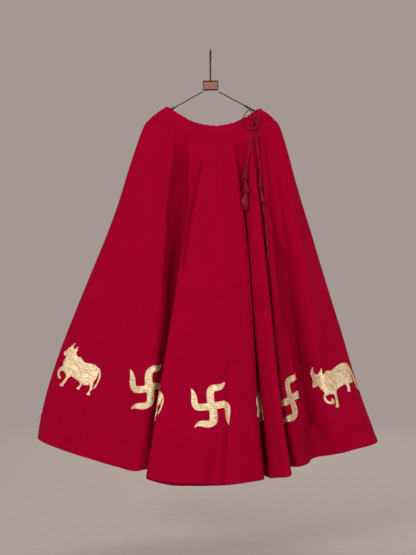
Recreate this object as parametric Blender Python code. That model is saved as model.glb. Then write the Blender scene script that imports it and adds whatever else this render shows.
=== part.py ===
"""A flared lehenga skirt hanging on a metal clothes hanger.

Metres, +Z up. The front of the skirt looks along -Y, and its left side, as the viewer sees it, is
at -X. The origin is the highest point inside the hook, where it rests on a rail.
"""
import math

import bmesh
import bpy
import numpy as np
from mathutils import Matrix, Vector

MM = 0.001
GAP = 0.3 * MM                   # the space kept between neighbouring pieces
BAND_LIFT = 0.4 * MM             # the same at the waist seam, which bends sharply at its ends

# Skirt: sizes of the cut and of the way it hangs.
CLOTH_WALL = 2.0 * MM            # brocade face with its backing
FACING_WALL = 1.0 * MM
BAND_WALL = 3.0 * MM             # the casing is folded double over its cord
SKIRT_LENGTH = 985 * MM          # waist seam to hem, straight down the front
SIDE_EXTRA = 14 * MM             # the sides hang on the bias and drop further
FACING_STARTS = 0.92             # share of the length where the hem's line of stitches runs
FACING_DROP = 3 * MM             # how far the facing shows below the front hem
FACING_SHOWS = dict(after=0.02, spread=0.07)   # where: shares of the cloth past fold A's edge
WAIST_MIDDLE = 4 * MM            # the waist hangs slightly to the right of the hook
WAIST_HALF_WIDTH = 184 * MM
COLUMN_STEP = 24 * MM            # widest column of the hem's grid
LEVELS = (0.0, 0.012, 0.034, 0.09, 0.20, 0.34, 0.48, 0.63, 0.78, FACING_STARTS, 1.0)
SHOULDER_BULGE = 9 * MM          # cloth pushed out over the tips of the hanger
SHOULDER_RISE = 12 * MM          # length in which the bulge forms
SLIT_WIDTH = 4 * MM              # opening of the casing, where its cord comes out

# The waist seam, the same at the front and back and on both sides of its middle.
WAIST_SEAM = (
    # out: share of the half width, deep: half depth front to back, down: below the origin
    dict(out=0.00, deep=25 * MM, down=272 * MM),
    dict(out=0.24, deep=24.5 * MM, down=267 * MM),
    dict(out=0.42, deep=23 * MM, down=254 * MM),
    dict(out=0.54, deep=21 * MM, down=241 * MM),
    dict(out=0.65, deep=18.5 * MM, down=226 * MM),
    dict(out=0.77, deep=15.5 * MM, down=214 * MM),
    dict(out=0.89, deep=11.5 * MM, down=207.5 * MM),
    dict(out=0.97, deep=6.5 * MM, down=203.5 * MM),
    dict(out=1.00, deep=0.0, down=202.3 * MM),
)
# The gathered top edge of the waistband.
BAND_HALF_WIDTH = 139 * MM
BAND_MIDDLE = 9 * MM
BAND_TOP = (
    dict(out=0.00, deep=22 * MM, down=220 * MM),
    dict(out=0.22, deep=21.5 * MM, down=215 * MM),
    dict(out=0.45, deep=20 * MM, down=202 * MM),
    dict(out=0.65, deep=17.5 * MM, down=188.5 * MM),
    dict(out=0.80, deep=14.5 * MM, down=179 * MM),
    dict(out=0.92, deep=10.5 * MM, down=172.5 * MM),
    dict(out=0.98, deep=6 * MM, down=169.5 * MM),
    dict(out=1.00, deep=0.0, down=168.5 * MM),
)
BAND_TILT = 4 * MM               # the top edge sinks this much from the middle to the right
BAND_PUFF = 2.5 * MM             # roundness of the casing half way up
BAND_GATHERS = 34
BAND_GATHER_DEPTH = 0.9 * MM

# The hem, all the way round: every ridge, flank and valley of its folds, seen from above.
# x and front in mm; bow: mm the fold's line swings to +X three quarters of the way down; drop:
# mm the hem hangs lower there.
HEM_FOLDS = (
    dict(at="left side", x=-510, front=0, bow=-25, drop=0),
    dict(at="left side turn", x=-492, front=30, bow=-22, drop=0),
    dict(at="left panel", x=-430, front=66, bow=-16, drop=5),
    dict(at="left panel", x=-350, front=98, bow=-10, drop=7),
    dict(at="left panel", x=-266, front=132, bow=-6, drop=5),
    dict(at="ridge before fold A", x=-206, front=163, bow=-2, drop=0),
    dict(at="turn into fold A", x=-185, front=160, bow=0, drop=-6),
    dict(at="fold A", x=-165, front=140, bow=0, drop=-6),
    dict(at="fold A", x=-122, front=94, bow=0, drop=-4),
    dict(at="bottom of fold A", x=-94, front=68, bow=0, drop=0),
    dict(at="bottom of fold A", x=-78, front=76, bow=0, drop=0),
    dict(at="fold A", x=-96, front=118, bow=0, drop=-4),
    dict(at="fold A", x=-138, front=162, bow=0, drop=-8),
    dict(at="edge over fold A", x=-170, front=186, bow=0, drop=-11),
    dict(at="edge over fold A", x=-183, front=200, bow=0, drop=-12),
    dict(at="edge over fold A", x=-168, front=212, bow=0, drop=-11),
    dict(at="middle panel", x=-120, front=220, bow=0, drop=-6),
    dict(at="middle panel", x=-50, front=229, bow=0, drop=-3),
    dict(at="middle dip", x=0, front=222, bow=0, drop=-1),
    dict(at="middle ridge", x=50, front=226, bow=0, drop=-2),
    dict(at="middle panel", x=100, front=202, bow=0, drop=-8),
    dict(at="edge over fold B", x=136, front=172, bow=-6, drop=-13),
    dict(at="edge over fold B", x=142, front=154, bow=-6, drop=-13),
    dict(at="fold B", x=128, front=130, bow=-4, drop=-8),
    dict(at="bottom of fold B", x=124, front=96, bow=-2, drop=0),
    dict(at="bottom of fold B", x=138, front=88, bow=-2, drop=0),
    dict(at="fold B", x=150, front=122, bow=-6, drop=2),
    dict(at="rib C", x=154, front=160, bow=-8, drop=4),
    dict(at="rib C", x=178, front=186, bow=-10, drop=6),
    dict(at="edge over fold D", x=208, front=203, bow=-12, drop=10),
    dict(at="edge over fold D", x=217, front=194, bow=-12, drop=10),
    dict(at="fold D", x=200, front=160, bow=-10, drop=6),
    dict(at="bottom of fold D", x=196, front=126, bow=-8, drop=0),
    dict(at="bottom of fold D", x=212, front=116, bow=-8, drop=0),
    dict(at="rib E", x=240, front=134, bow=-8, drop=0),
    dict(at="rib E", x=262, front=122, bow=-8, drop=0),
    dict(at="valley F", x=284, front=90, bow=-8, drop=0),
    dict(at="right panel", x=312, front=102, bow=-8, drop=-2),
    dict(at="right panel", x=350, front=106, bow=-8, drop=-7),
    dict(at="right panel", x=408, front=74, bow=-10, drop=-8),
    dict(at="right side turn", x=474, front=34, bow=-10, drop=-8),
    dict(at="right side", x=494, front=0, bow=-11, drop=-8),
    dict(at="right side turn", x=476, front=-36, bow=-10, drop=-7),
    dict(at="behind the right side", x=410, front=-78, bow=-8, drop=-4),
    dict(at="back right panel", x=342, front=-110, bow=-6, drop=-4),
    dict(at="back valley", x=296, front=-98, bow=-6, drop=0),
    dict(at="back ridge", x=238, front=-138, bow=-4, drop=0),
    dict(at="turn into fold H", x=198, front=-160, bow=0, drop=0),
    dict(at="fold H", x=172, front=-140, bow=0, drop=0),
    dict(at="fold H", x=134, front=-96, bow=0, drop=0),
    dict(at="bottom of fold H", x=112, front=-74, bow=0, drop=0),
    dict(at="bottom of fold H", x=96, front=-86, bow=0, drop=0),
    dict(at="fold H", x=112, front=-132, bow=0, drop=0),
    dict(at="edge over fold H", x=150, front=-184, bow=0, drop=0),
    dict(at="edge over fold H", x=160, front=-204, bow=0, drop=0),
    dict(at="edge over fold H", x=142, front=-214, bow=0, drop=0),
    dict(at="back middle panel", x=84, front=-224, bow=0, drop=0),
    dict(at="back middle dip", x=26, front=-214, bow=0, drop=0),
    dict(at="back middle ridge", x=-36, front=-232, bow=0, drop=0),
    dict(at="back middle panel", x=-96, front=-222, bow=0, drop=0),
    dict(at="edge over fold I", x=-144, front=-202, bow=0, drop=0),
    dict(at="edge over fold I", x=-152, front=-182, bow=0, drop=0),
    dict(at="fold I", x=-134, front=-136, bow=0, drop=0),
    dict(at="bottom of fold I", x=-128, front=-98, bow=0, drop=0),
    dict(at="bottom of fold I", x=-146, front=-88, bow=0, drop=0),
    dict(at="fold I", x=-164, front=-126, bow=0, drop=0),
    dict(at="back left ridge", x=-190, front=-166, bow=-2, drop=0),
    dict(at="back left ridge", x=-226, front=-172, bow=-4, drop=0),
    dict(at="back left valley", x=-270, front=-124, bow=-6, drop=0),
    dict(at="back left panel", x=-312, front=-124, bow=-8, drop=0),
    dict(at="back left panel", x=-370, front=-106, bow=-12, drop=0),
    dict(at="back left panel", x=-440, front=-68, bow=-18, drop=0),
    dict(at="left side turn", x=-494, front=-28, bow=-23, drop=0),
)
# Small gathers that run down from the waist seam; share: of the cloth, round from the left side;
# out: mm they stand out (or sink, where negative); fades: share of the length they reach.
GATHERS = (
    dict(share=0.030, out=-1.6, fades=0.16),
    dict(share=0.052, out=1.8, fades=0.22),
    dict(share=0.076, out=-2.2, fades=0.30),
    dict(share=0.098, out=2.4, fades=0.26),
    dict(share=0.117, out=-3.4, fades=0.34),
    dict(share=0.137, out=2.6, fades=0.22),
    dict(share=0.155, out=-3.6, fades=0.30),
    dict(share=0.172, out=3.0, fades=0.20),
    dict(share=0.190, out=-2.8, fades=0.22),
    dict(share=0.214, out=2.0, fades=0.16),
    dict(share=0.243, out=-1.8, fades=0.12),
    dict(share=0.276, out=1.8, fades=0.18),
    dict(share=0.300, out=-2.2, fades=0.14),
    dict(share=0.319, out=2.6, fades=0.20),
    dict(share=0.337, out=-3.4, fades=0.28),
    dict(share=0.354, out=2.8, fades=0.20),
    dict(share=0.371, out=-3.4, fades=0.26),
    dict(share=0.388, out=2.8, fades=0.22),
    dict(share=0.405, out=-2.6, fades=0.26),
    dict(share=0.436, out=2.2, fades=0.22),
    dict(share=0.462, out=-2.2, fades=0.18),
    dict(share=0.492, out=1.8, fades=0.20),
    dict(share=0.560, out=-2.0, fades=0.18),
    dict(share=0.588, out=2.2, fades=0.24),
    dict(share=0.612, out=-2.8, fades=0.26),
    dict(share=0.636, out=2.6, fades=0.20),
    dict(share=0.660, out=-3.2, fades=0.30),
    dict(share=0.682, out=2.8, fades=0.20),
    dict(share=0.706, out=-2.4, fades=0.16),
    dict(share=0.738, out=2.0, fades=0.20),
    dict(share=0.768, out=-2.2, fades=0.14),
    dict(share=0.797, out=2.4, fades=0.22),
    dict(share=0.820, out=-3.0, fades=0.26),
    dict(share=0.842, out=2.6, fades=0.22),
    dict(share=0.866, out=-3.2, fades=0.28),
    dict(share=0.890, out=2.4, fades=0.20),
    dict(share=0.918, out=-2.4, fades=0.24),
    dict(share=0.948, out=2.0, fades=0.18),
)
GATHER_WIDTH = 0.0085            # share of the cloth
GATHER_STARTS = 0.018            # share of the length in which a gather forms below the seam
# The panels of the skirt, and the fold in which the seam lies hidden where each one starts.
PANELS = (
    dict(name="skirt_right_front", starts="bottom of fold D"),
    dict(name="skirt_right_back", starts="behind the right side"),
    dict(name="skirt_back", starts="bottom of fold H"),
    dict(name="skirt_left", starts="bottom of fold I"),
    dict(name="skirt_front", starts="bottom of fold A"),
)
FACINGS = (
    dict(name="hem_facing_back", panels=3),
    dict(name="hem_facing_front", panels=2),
)


def smooth_ring(points, per_span=16):
    """Dense closed curve through the points; chord lengths come from the first two columns."""
    ring = np.asarray(points, float)
    back = ring - np.roll(ring, 1, axis=0)
    ahead = np.roll(ring, -1, axis=0) - ring
    chord_back = np.linalg.norm(back[:, :2], axis=1)[:, None]
    chord = np.linalg.norm(ahead[:, :2], axis=1)[:, None]
    slope = (back / chord_back * chord + ahead / chord * chord_back) / (chord_back + chord)
    after = np.roll(ring, -1, axis=0)
    slope_after = np.roll(slope, -1, axis=0)
    steps = []
    for step in range(per_span):
        t = step / per_span
        steps.append(ring * (2 * t**3 - 3 * t**2 + 1)
                     + slope * chord * (t**3 - 2 * t**2 + t)
                     + after * (3 * t**2 - 2 * t**3)
                     + slope_after * chord * (t**3 - t**2))
    return np.stack(steps, axis=1).reshape(-1, ring.shape[1])


class Ring:
    """A closed curve that is read by the share of its length, from 0 to 1."""

    def __init__(self, dense, measured):
        closed = np.vstack([dense, dense[:1]])
        run = np.linalg.norm(np.diff(closed[:, :measured], axis=0), axis=1)
        self.length = run.sum()
        self.shares = np.concatenate([[0.0], np.cumsum(run)]) / self.length
        self.closed = closed

    def at(self, share):
        share = np.mod(share, 1.0)
        columns = [np.interp(share, self.shares, values) for values in self.closed.T]
        return np.stack(columns, axis=-1)


def flat_ring(table, middle, half_width):
    """The closed line of a seam that is alike at the front and back and on both sides."""
    half = []
    for row in table:
        half.append((row["out"] * half_width, -row["deep"], -row["down"]))
    right_front = half
    left_front = [(-x, y, z) for x, y, z in reversed(half[1:])]
    front = left_front + right_front
    back = [(x, -y, z) for x, y, z in reversed(front[1:-1])]
    points = np.array(front + back)
    points[:, 0] += middle
    return Ring(smooth_ring(points), 3)


WAIST = flat_ring(WAIST_SEAM, WAIST_MIDDLE, WAIST_HALF_WIDTH)
BAND_EDGE = flat_ring(BAND_TOP, BAND_MIDDLE, BAND_HALF_WIDTH)
HEM_PER_SPAN = 16
HEM_ROWS = [(row["x"] * MM, -row["front"] * MM, row["bow"] * MM, row["drop"] * MM)
            for row in HEM_FOLDS]
HEM = Ring(smooth_ring(HEM_ROWS, HEM_PER_SPAN), 2)


def share_of(fold_name):
    """Share of the hem at the middle of the rows with this name."""
    rows = [i for i, row in enumerate(HEM_FOLDS) if row["at"] == fold_name]
    return float(np.mean([HEM.shares[i * HEM_PER_SPAN] for i in rows]))


def seam_shares():
    """Share of the cloth at the start of each panel, once round from the side opening."""
    seams = [share_of(panel["starts"]) for panel in PANELS]
    return [seams[0] + (seam - seams[0]) % 1.0 for seam in seams]


def gathered(share, down):
    """How far the small gathers push the cloth out at this place."""
    push = np.zeros_like(share)
    for row in GATHERS:
        off = np.mod(share - row["share"] + 0.5, 1.0) - 0.5
        push += row["out"] * MM * np.exp(-(off / GATHER_WIDTH) ** 2 - (down / row["fades"]) ** 2)
    return push * (1 - math.exp(-down / GATHER_STARTS))


def skirt_point(share, down):
    """A point of the skirt's outer face; down runs from 0 at the waist seam to 1 at the hem."""
    share = np.asarray(share, float)
    waist = WAIST.at(share)
    hem = HEM.at(share)
    side = np.abs((waist[..., 0] - WAIST_MIDDLE) / WAIST_HALF_WIDTH) ** 6
    outwards = np.sign(waist[..., 0] - WAIST_MIDDLE)
    reach = SKIRT_LENGTH + SIDE_EXTRA * side
    level_run = np.hypot(hem[..., 0] - waist[..., 0], hem[..., 1] - waist[..., 1])
    hem_z = waist[..., 2] - np.sqrt(reach**2 - level_run**2) - hem[..., 3]
    swing = hem[..., 2] * down**3 * (1 - down) * 256 / 27
    bulge = SHOULDER_BULGE * (1 - math.exp(-down * SKIRT_LENGTH / SHOULDER_RISE)) * (1 - down)**3
    x = waist[..., 0] * (1 - down) + hem[..., 0] * down + swing + outwards * side * bulge
    y = waist[..., 1] * (1 - down) + hem[..., 1] * down
    y += np.tanh(waist[..., 1] / (6 * MM)) * gathered(share, down)
    z = waist[..., 2] * (1 - down) + hem_z * down
    return np.stack([x, y, z], axis=-1)


def gathered_band_rows(shares):
    """Outer points of the waistband: its top edge, the middle of its roundness, its seam."""
    top = BAND_EDGE.at(shares)
    seam = WAIST.at(shares)
    top[:, 2] -= BAND_TILT * (top[:, 0] - BAND_MIDDLE) / BAND_HALF_WIDTH
    wave = np.cos(2 * math.pi * BAND_GATHERS * shares)
    outwards = np.sign(top[:, 1]) * np.minimum(1, np.abs(top[:, 1]) / (8 * MM))
    top[:, 1] += outwards * BAND_GATHER_DEPTH * wave
    top[:, 2] += BAND_GATHER_DEPTH * wave
    middle = (top + seam) / 2
    middle[:, 1] += outwards * BAND_PUFF
    middle[:, 2] += BAND_PUFF / 2
    return top, middle, seam


def column_shares():
    """Shares of the cloth where a column of points runs from waist to hem, once round."""
    seams = seam_shares()
    start = seams[0]
    columns = []
    for row in range(len(HEM_FOLDS)):
        first = HEM.shares[row * HEM_PER_SPAN]
        last = HEM.shares[(row + 1) * HEM_PER_SPAN]
        parts = math.ceil((last - first) * HEM.length / COLUMN_STEP)
        columns += [first + (last - first) * part / parts for part in range(parts)]
    slit = SLIT_WIDTH / 2 / WAIST.length
    forced = seams + [start + slit, start + 1 - slit, start + 1]
    free = [c if c >= start else c + 1 for c in columns]
    nearest = 0.6 * slit
    free = [c for c in free if min(abs(c - f) for f in forced) > nearest]
    return np.array(sorted(free + forced))


def cloth_grid():
    """Outer points, outward and upward directions of the band's rows and then the skirt's."""
    shares = column_shares()
    rows = list(gathered_band_rows(shares)) + [skirt_point(shares, level) for level in LEVELS[1:]]
    outer = np.array(rows)
    down = np.gradient(outer, axis=0)
    ring = outer[:, :-1]
    along = np.roll(ring, -1, axis=1) - np.roll(ring, 1, axis=1)
    along = np.concatenate([along, along[:, :1]], axis=1)
    outwards = np.cross(down, along)
    outwards /= np.linalg.norm(outwards, axis=2)[..., None]
    upwards = np.cross(outwards, along)
    upwards /= np.linalg.norm(upwards, axis=2)[..., None]
    return shares, outer, outwards, upwards


def parted(points, first, last):
    """The columns from first to last, with the two end columns drawn in by half a seam gap."""
    panel = points[:, first:last + 1].copy()
    for edge, beside in ((0, 1), (-1, -2)):
        step = panel[:, beside] - panel[:, edge]
        panel[:, edge] += step / np.linalg.norm(step, axis=1)[:, None] * GAP / 2
    return panel


def material(name, colour, roughness, metallic=0.0):
    finish = bpy.data.materials.new(name)
    finish.use_nodes = True
    shader = finish.node_tree.nodes["Principled BSDF"]
    shader.inputs["Base Color"].default_value = (*colour, 1.0)
    shader.inputs["Roughness"].default_value = roughness
    shader.inputs["Metallic"].default_value = metallic
    return finish


def add_mesh(name, points, faces, finish, sharp_angle=50):
    mesh = bpy.data.meshes.new(name)
    mesh.from_pydata([tuple(point) for point in points], [], faces)
    work = bmesh.new()
    work.from_mesh(mesh)
    bmesh.ops.recalc_face_normals(work, faces=work.faces)
    work.to_mesh(mesh)
    work.free()
    mesh.shade_smooth()
    mesh.set_sharp_from_angle(angle=math.radians(sharp_angle))
    mesh.materials.append(finish)
    part = bpy.data.objects.new(name, mesh)
    bpy.context.collection.objects.link(part)
    return part


def add_wall(name, outer, inner, finish):
    """A closed wall between two grids of points with the same rows and columns."""
    rows, columns = outer.shape[:2]
    count = rows * columns

    def spot(row, column, side):
        return side * count + row * columns + column

    faces = []
    for row in range(rows - 1):
        for column in range(columns - 1):
            for side in (0, 1):
                a = spot(row, column, side)
                b = spot(row + 1, column, side)
                c = spot(row + 1, column + 1, side)
                d = spot(row, column + 1, side)
                faces += [(a, b, c), (a, c, d)]
    border = [(0, column) for column in range(columns)]
    border += [(row, columns - 1) for row in range(1, rows)]
    border += [(rows - 1, column) for column in range(columns - 2, -1, -1)]
    border += [(row, 0) for row in range(rows - 2, 0, -1)]
    for here, there in zip(border, border[1:] + border[:1]):
        a, b = spot(*here, 0), spot(*there, 0)
        c, d = spot(*there, 1), spot(*here, 1)
        faces += [(a, b, c), (a, c, d)]
    points = np.concatenate([outer.reshape(-1, 3), inner.reshape(-1, 3)])
    return add_mesh(name, points, faces, finish)


def add_cloth(silk, facing_silk):
    """The waistband, the panels of the skirt, and the facings inside its hem."""
    shares, outer, outwards, upwards = cloth_grid()
    seam_row = 2
    last = len(shares) - 1
    starts = [int(np.argmin(np.abs(shares - seam))) for seam in seam_shares()]
    ends = starts[1:] + [last]

    band = outer[:seam_row + 1, 1:last].copy()
    band_out = outwards[:seam_row + 1, 1:last]
    band[-1] += upwards[seam_row, 1:last] * BAND_LIFT
    add_wall("waistband", band, band - band_out * BAND_WALL, silk)

    skirt = outer[seam_row:]
    inner = skirt - outwards[seam_row:] * CLOTH_WALL
    hem_rows = slice(-2, None)
    facing_outer = inner[hem_rows] - outwards[hem_rows] * GAP
    middle_of_drop = 1 + share_of("edge over fold A") + FACING_SHOWS["after"]
    shows = np.exp(-((shares - middle_of_drop) / FACING_SHOWS["spread"]) ** 2)
    hang = facing_outer[-1] - facing_outer[-2]
    hang /= np.linalg.norm(hang, axis=1)[:, None]
    facing_outer[-1] += hang * (FACING_DROP * shows)[:, None]
    facing_inner = facing_outer - outwards[hem_rows] * FACING_WALL
    for panel, first, end in zip(PANELS, starts, ends):
        add_wall(panel["name"], parted(skirt, first, end), parted(inner, first, end), silk)
    panel = 0
    for strip in FACINGS:
        first = starts[panel]
        panel += strip["panels"]
        end = ends[panel - 1]
        add_wall(strip["name"], parted(facing_outer, first, end),
                 parted(facing_inner, first, end), facing_silk)


# Hanger: a metal hook, a wooden block in a metal frame, two wire arms with grips.
HOOK_WIRE = 5.2 * MM
HOOK_INNER = 20 * MM             # inner radius of the bend that lies on the rail
HOOK_TIP = 14 * MM               # straight run of the tip below the bend
BLOCK_X = 0.4 * MM
BLOCK_TOP = 90 * MM
BLOCK_SIZE = (45 * MM, 15 * MM, 28.6 * MM)
FRAME_EDGE = 3 * MM
ARM_WIRE = 3.2 * MM
ARM_ROOT = dict(out=21.6 * MM, down=120.6 * MM)
ARM_TIP = dict(out=179.5 * MM, down=207.6 * MM)
ARMS_MIDDLE = 4 * MM
GRIP_RADIUS = 3.2 * MM
GRIP_START = dict(left=106 * MM, right=100 * MM)   # from the hook's line

# Drawstring: the route of each length of cord, (x, y, z) in mm, and the tiers of its tassels.
CORD = 3 * MM
KNOT = dict(place=(128, -24.4, -198), radii=(5, 3.5, 6))
LOOP_ROUTE = (
    (124.4, -24.4, -193.2), (119, -24, -186), (111, -23.5, -181.5), (104, -23.5, -186),
    (98, -24.5, -196), (92.8, -26, -208), (94.5, -27, -218), (99.4, -28, -226),
    (107, -29, -233.5), (117, -30.5, -237), (128.5, -30, -232.5), (136, -28.5, -223.5),
    (139.2, -27, -211), (138, -25.8, -199.5), (133.6, -24.6, -192.8),
)
LEFT_TAIL_ROUTE = (
    (125.2, -24.4, -203.7), (122.6, -24.3, -211), (121.7, -25, -227), (122.8, -25.5, -242),
    (118.8, -27, -256), (116.9, -30, -268), (115, -33.5, -281), (112.9, -36, -294),
    (109.5, -38.5, -312), (106.3, -40.8, -331.2),
)
RIGHT_TAIL_ROUTE = (
    (130.9, -24.4, -203.6), (134.5, -23.8, -213), (138.3, -23.6, -225), (140.8, -23.8, -237),
    (141.3, -24.3, -248), (138.5, -25.5, -259), (135.4, -27, -270), (135.8, -29.5, -284),
    (137.5, -31.5, -300), (141, -33.5, -328), (144.4, -35.4, -351.2),
)
HITCH_ROUTE = (
    (120.2, -28.9, -266.4), (123, -28.8, -269), (127, -28.3, -270.2), (130.5, -27.6, -269.4),
    (133.6, -26.8, -266.8),
)
LEFT_TASSEL = (
    # top and foot of each tier's axis, neck and mouth: radii, flat: depth over width
    dict(name="upper_bell", top=(106.1, -41, -331.5), foot=(97.5, -47.5, -389.5), neck=2.6,
         mouth=7.6, flat=0.9),
    dict(name="lower_bell", top=(98.6, -48.4, -384), foot=(103, -56.5, -428), neck=3,
         mouth=9, flat=0.9),
)
LEFT_PETALS = (dict(name="petal", top=(103.2, -57.2, -421), foot=(99.5, -59, -477), widest=9.5,
                    flat=0.5),)
RIGHT_TASSEL = (
    dict(name="upper_bell", top=(144.7, -35.6, -351.5), foot=(142.9, -46, -415.8), neck=2.6,
         mouth=6, flat=0.9),
    dict(name="lower_bell", top=(143.5, -46.4, -410.5), foot=(151, -51.5, -457), neck=2.4,
         mouth=7, flat=0.9),
)
RIGHT_PETALS = (
    dict(name="petal_1", top=(150.1, -50.9, -450.2), foot=(156.5, -56, -500.5), widest=4, flat=0.6),
    dict(name="petal_2", top=(156.6, -56.2, -500.9), foot=(159.5, -63, -550.5), widest=4, flat=0.6),
    dict(name="petal_3", top=(159.6, -63.1, -550.9), foot=(162, -68, -586), widest=4, flat=0.6),
    dict(name="petal_4", top=(162.1, -68.1, -586.4), foot=(164.3, -73, -623), widest=3.6,
         flat=0.6),
)


def smooth_route(points, spacing):
    """Points at even spacing on a smooth open curve through the route's own points."""
    route = np.asarray(points, float)
    reach = np.vstack([2 * route[0] - route[1], route, 2 * route[-1] - route[-2]])
    dense = [route[0]]
    for before, here, there, after in zip(reach, reach[1:], reach[2:], reach[3:]):
        for t in np.linspace(0, 1, 13)[1:]:
            dense.append(0.5 * (2 * here + (there - before) * t
                                + (2 * before - 5 * here + 4 * there - after) * t**2
                                + (3 * here - before - 3 * there + after) * t**3))
    dense = np.array(dense)
    run = np.concatenate([[0], np.cumsum(np.linalg.norm(np.diff(dense, axis=0), axis=1))])
    stops = np.linspace(0, run[-1], max(2, round(run[-1] / spacing) + 1))
    return np.stack([np.interp(stops, run, dense[:, axis]) for axis in range(3)], axis=1)


def add_tube(name, points, width, finish, sides=2):
    """A round bar along the points, with flat ends."""
    curve = bpy.data.curves.new(name, "CURVE")
    curve.dimensions = "3D"
    curve.bevel_depth = width / 2
    curve.bevel_resolution = sides
    curve.use_fill_caps = True
    line = curve.splines.new("POLY")
    line.points.add(len(points) - 1)
    for spot, point in zip(line.points, points):
        spot.co = (*point, 1.0)
    curve.materials.append(finish)
    tube = bpy.data.objects.new(name, curve)
    bpy.context.collection.objects.link(tube)
    return tube


def along_axis(top, foot):
    """Placement of a turned piece whose own axis runs down from its top, towards its foot."""
    top, foot = Vector(top), Vector(foot)
    down = (foot - top).normalized()
    across = Vector((0, 1, 0)).cross(down).normalized()
    deep = down.cross(across).normalized()
    turn = Matrix((across, deep, down)).transposed().to_4x4()
    return Matrix.Translation(top) @ turn


def add_turned(name, profile, place, finish, segments=12, lobes=0, lobe_depth=0.0, flat=1.0):
    """A closed body turned about its axis; profile: (radius, way down) from axis to axis."""
    points = []
    faces = []
    rings = profile[1:-1]
    points.append((0, 0, profile[0][1]))
    for radius, way in rings:
        for step in range(segments):
            angle = 2 * math.pi * step / segments
            reach = radius * (1 + lobe_depth * math.cos(lobes * angle))
            points.append((reach * math.cos(angle), reach * flat * math.sin(angle), way))
    points.append((0, 0, profile[-1][1]))
    end = len(points) - 1
    for step in range(segments):
        after = (step + 1) % segments
        faces.append((0, 1 + step, 1 + after))
        for ring in range(len(rings) - 1):
            a, b = 1 + ring * segments + step, 1 + ring * segments + after
            faces += [(a, a + segments, b + segments), (a, b + segments, b)]
        base = 1 + (len(rings) - 1) * segments
        faces.append((base + step, end, base + after))
    placed = [place @ Vector(point) for point in points]
    return add_mesh(name, placed, faces, finish)


def in_metres(point):
    return Vector(point) * MM


def add_bell(name, tier, finish):
    """One tier of a tassel: a small lobed bell, open at its foot."""
    top, foot = in_metres(tier["top"]), in_metres(tier["foot"])
    length = (foot - top).length
    neck, mouth = tier["neck"] * MM, tier["mouth"] * MM
    wall = 1 * MM
    recess = 7.5 * MM
    profile = [(0, 0), (neck, 0.3 * MM), (neck * 1.25, length * 0.25), (mouth * 0.72, length * 0.6),
               (mouth, length), (mouth - wall, length), (mouth - wall * 1.5, length - recess),
               (0, length - recess)]
    add_turned(name, profile, along_axis(top, foot), finish, segments=12, lobes=4,
               lobe_depth=0.07, flat=tier["flat"])


def add_petal(name, tier, finish):
    """A leaf-shaped end tier, widest below its middle."""
    top, foot = in_metres(tier["top"]), in_metres(tier["foot"])
    length = (foot - top).length
    wide = tier["widest"] * MM
    profile = [(0, 0), (wide * 0.3, 0), (wide * 0.62, length * 0.3), (wide, length * 0.68),
               (wide * 0.8, length * 0.88), (wide * 0.3, length), (0, length)]
    add_turned(name, profile, along_axis(top, foot), finish, segments=8, flat=tier["flat"])


def add_drawstring(satin):
    """The tied ends of the cord, at the casing's opening, with their tassels."""
    place = Matrix.Translation(in_metres(KNOT["place"]))
    wide, deep, tall = (radius * MM for radius in KNOT["radii"])
    rings = 6
    profile = [(wide * math.sin(math.pi * k / rings), tall * math.cos(math.pi * k / rings))
               for k in range(rings + 1)]
    add_turned("drawstring_knot", profile, place, satin, segments=12, flat=deep / wide)
    for name, route in (("drawstring_loop", LOOP_ROUTE), ("drawstring_left", LEFT_TAIL_ROUTE),
                        ("drawstring_right", RIGHT_TAIL_ROUTE), ("drawstring_hitch", HITCH_ROUTE)):
        points = smooth_route(np.array(route) * MM, 2.2 * CORD)
        add_tube(name, points, CORD, satin)
    for side, bells, petals in (("left", LEFT_TASSEL, LEFT_PETALS),
                                ("right", RIGHT_TASSEL, RIGHT_PETALS)):
        for tier in bells:
            add_bell("tassel_" + side + "_" + tier["name"], tier, satin)
        for tier in petals:
            add_petal("tassel_" + side + "_" + tier["name"], tier, satin)


def add_block(name, size, middle, finish, bevel):
    work = bmesh.new()
    bmesh.ops.create_cube(work, size=1.0)
    bmesh.ops.scale(work, vec=size, verts=work.verts)
    mesh = bpy.data.meshes.new(name)
    work.to_mesh(mesh)
    work.free()
    mesh.materials.append(finish)
    block = bpy.data.objects.new(name, mesh)
    block.location = middle
    bpy.context.collection.objects.link(block)
    if bevel:
        rounding = block.modifiers.new("rounding", "BEVEL")
        rounding.width = bevel
        rounding.segments = 2
    return block


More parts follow.
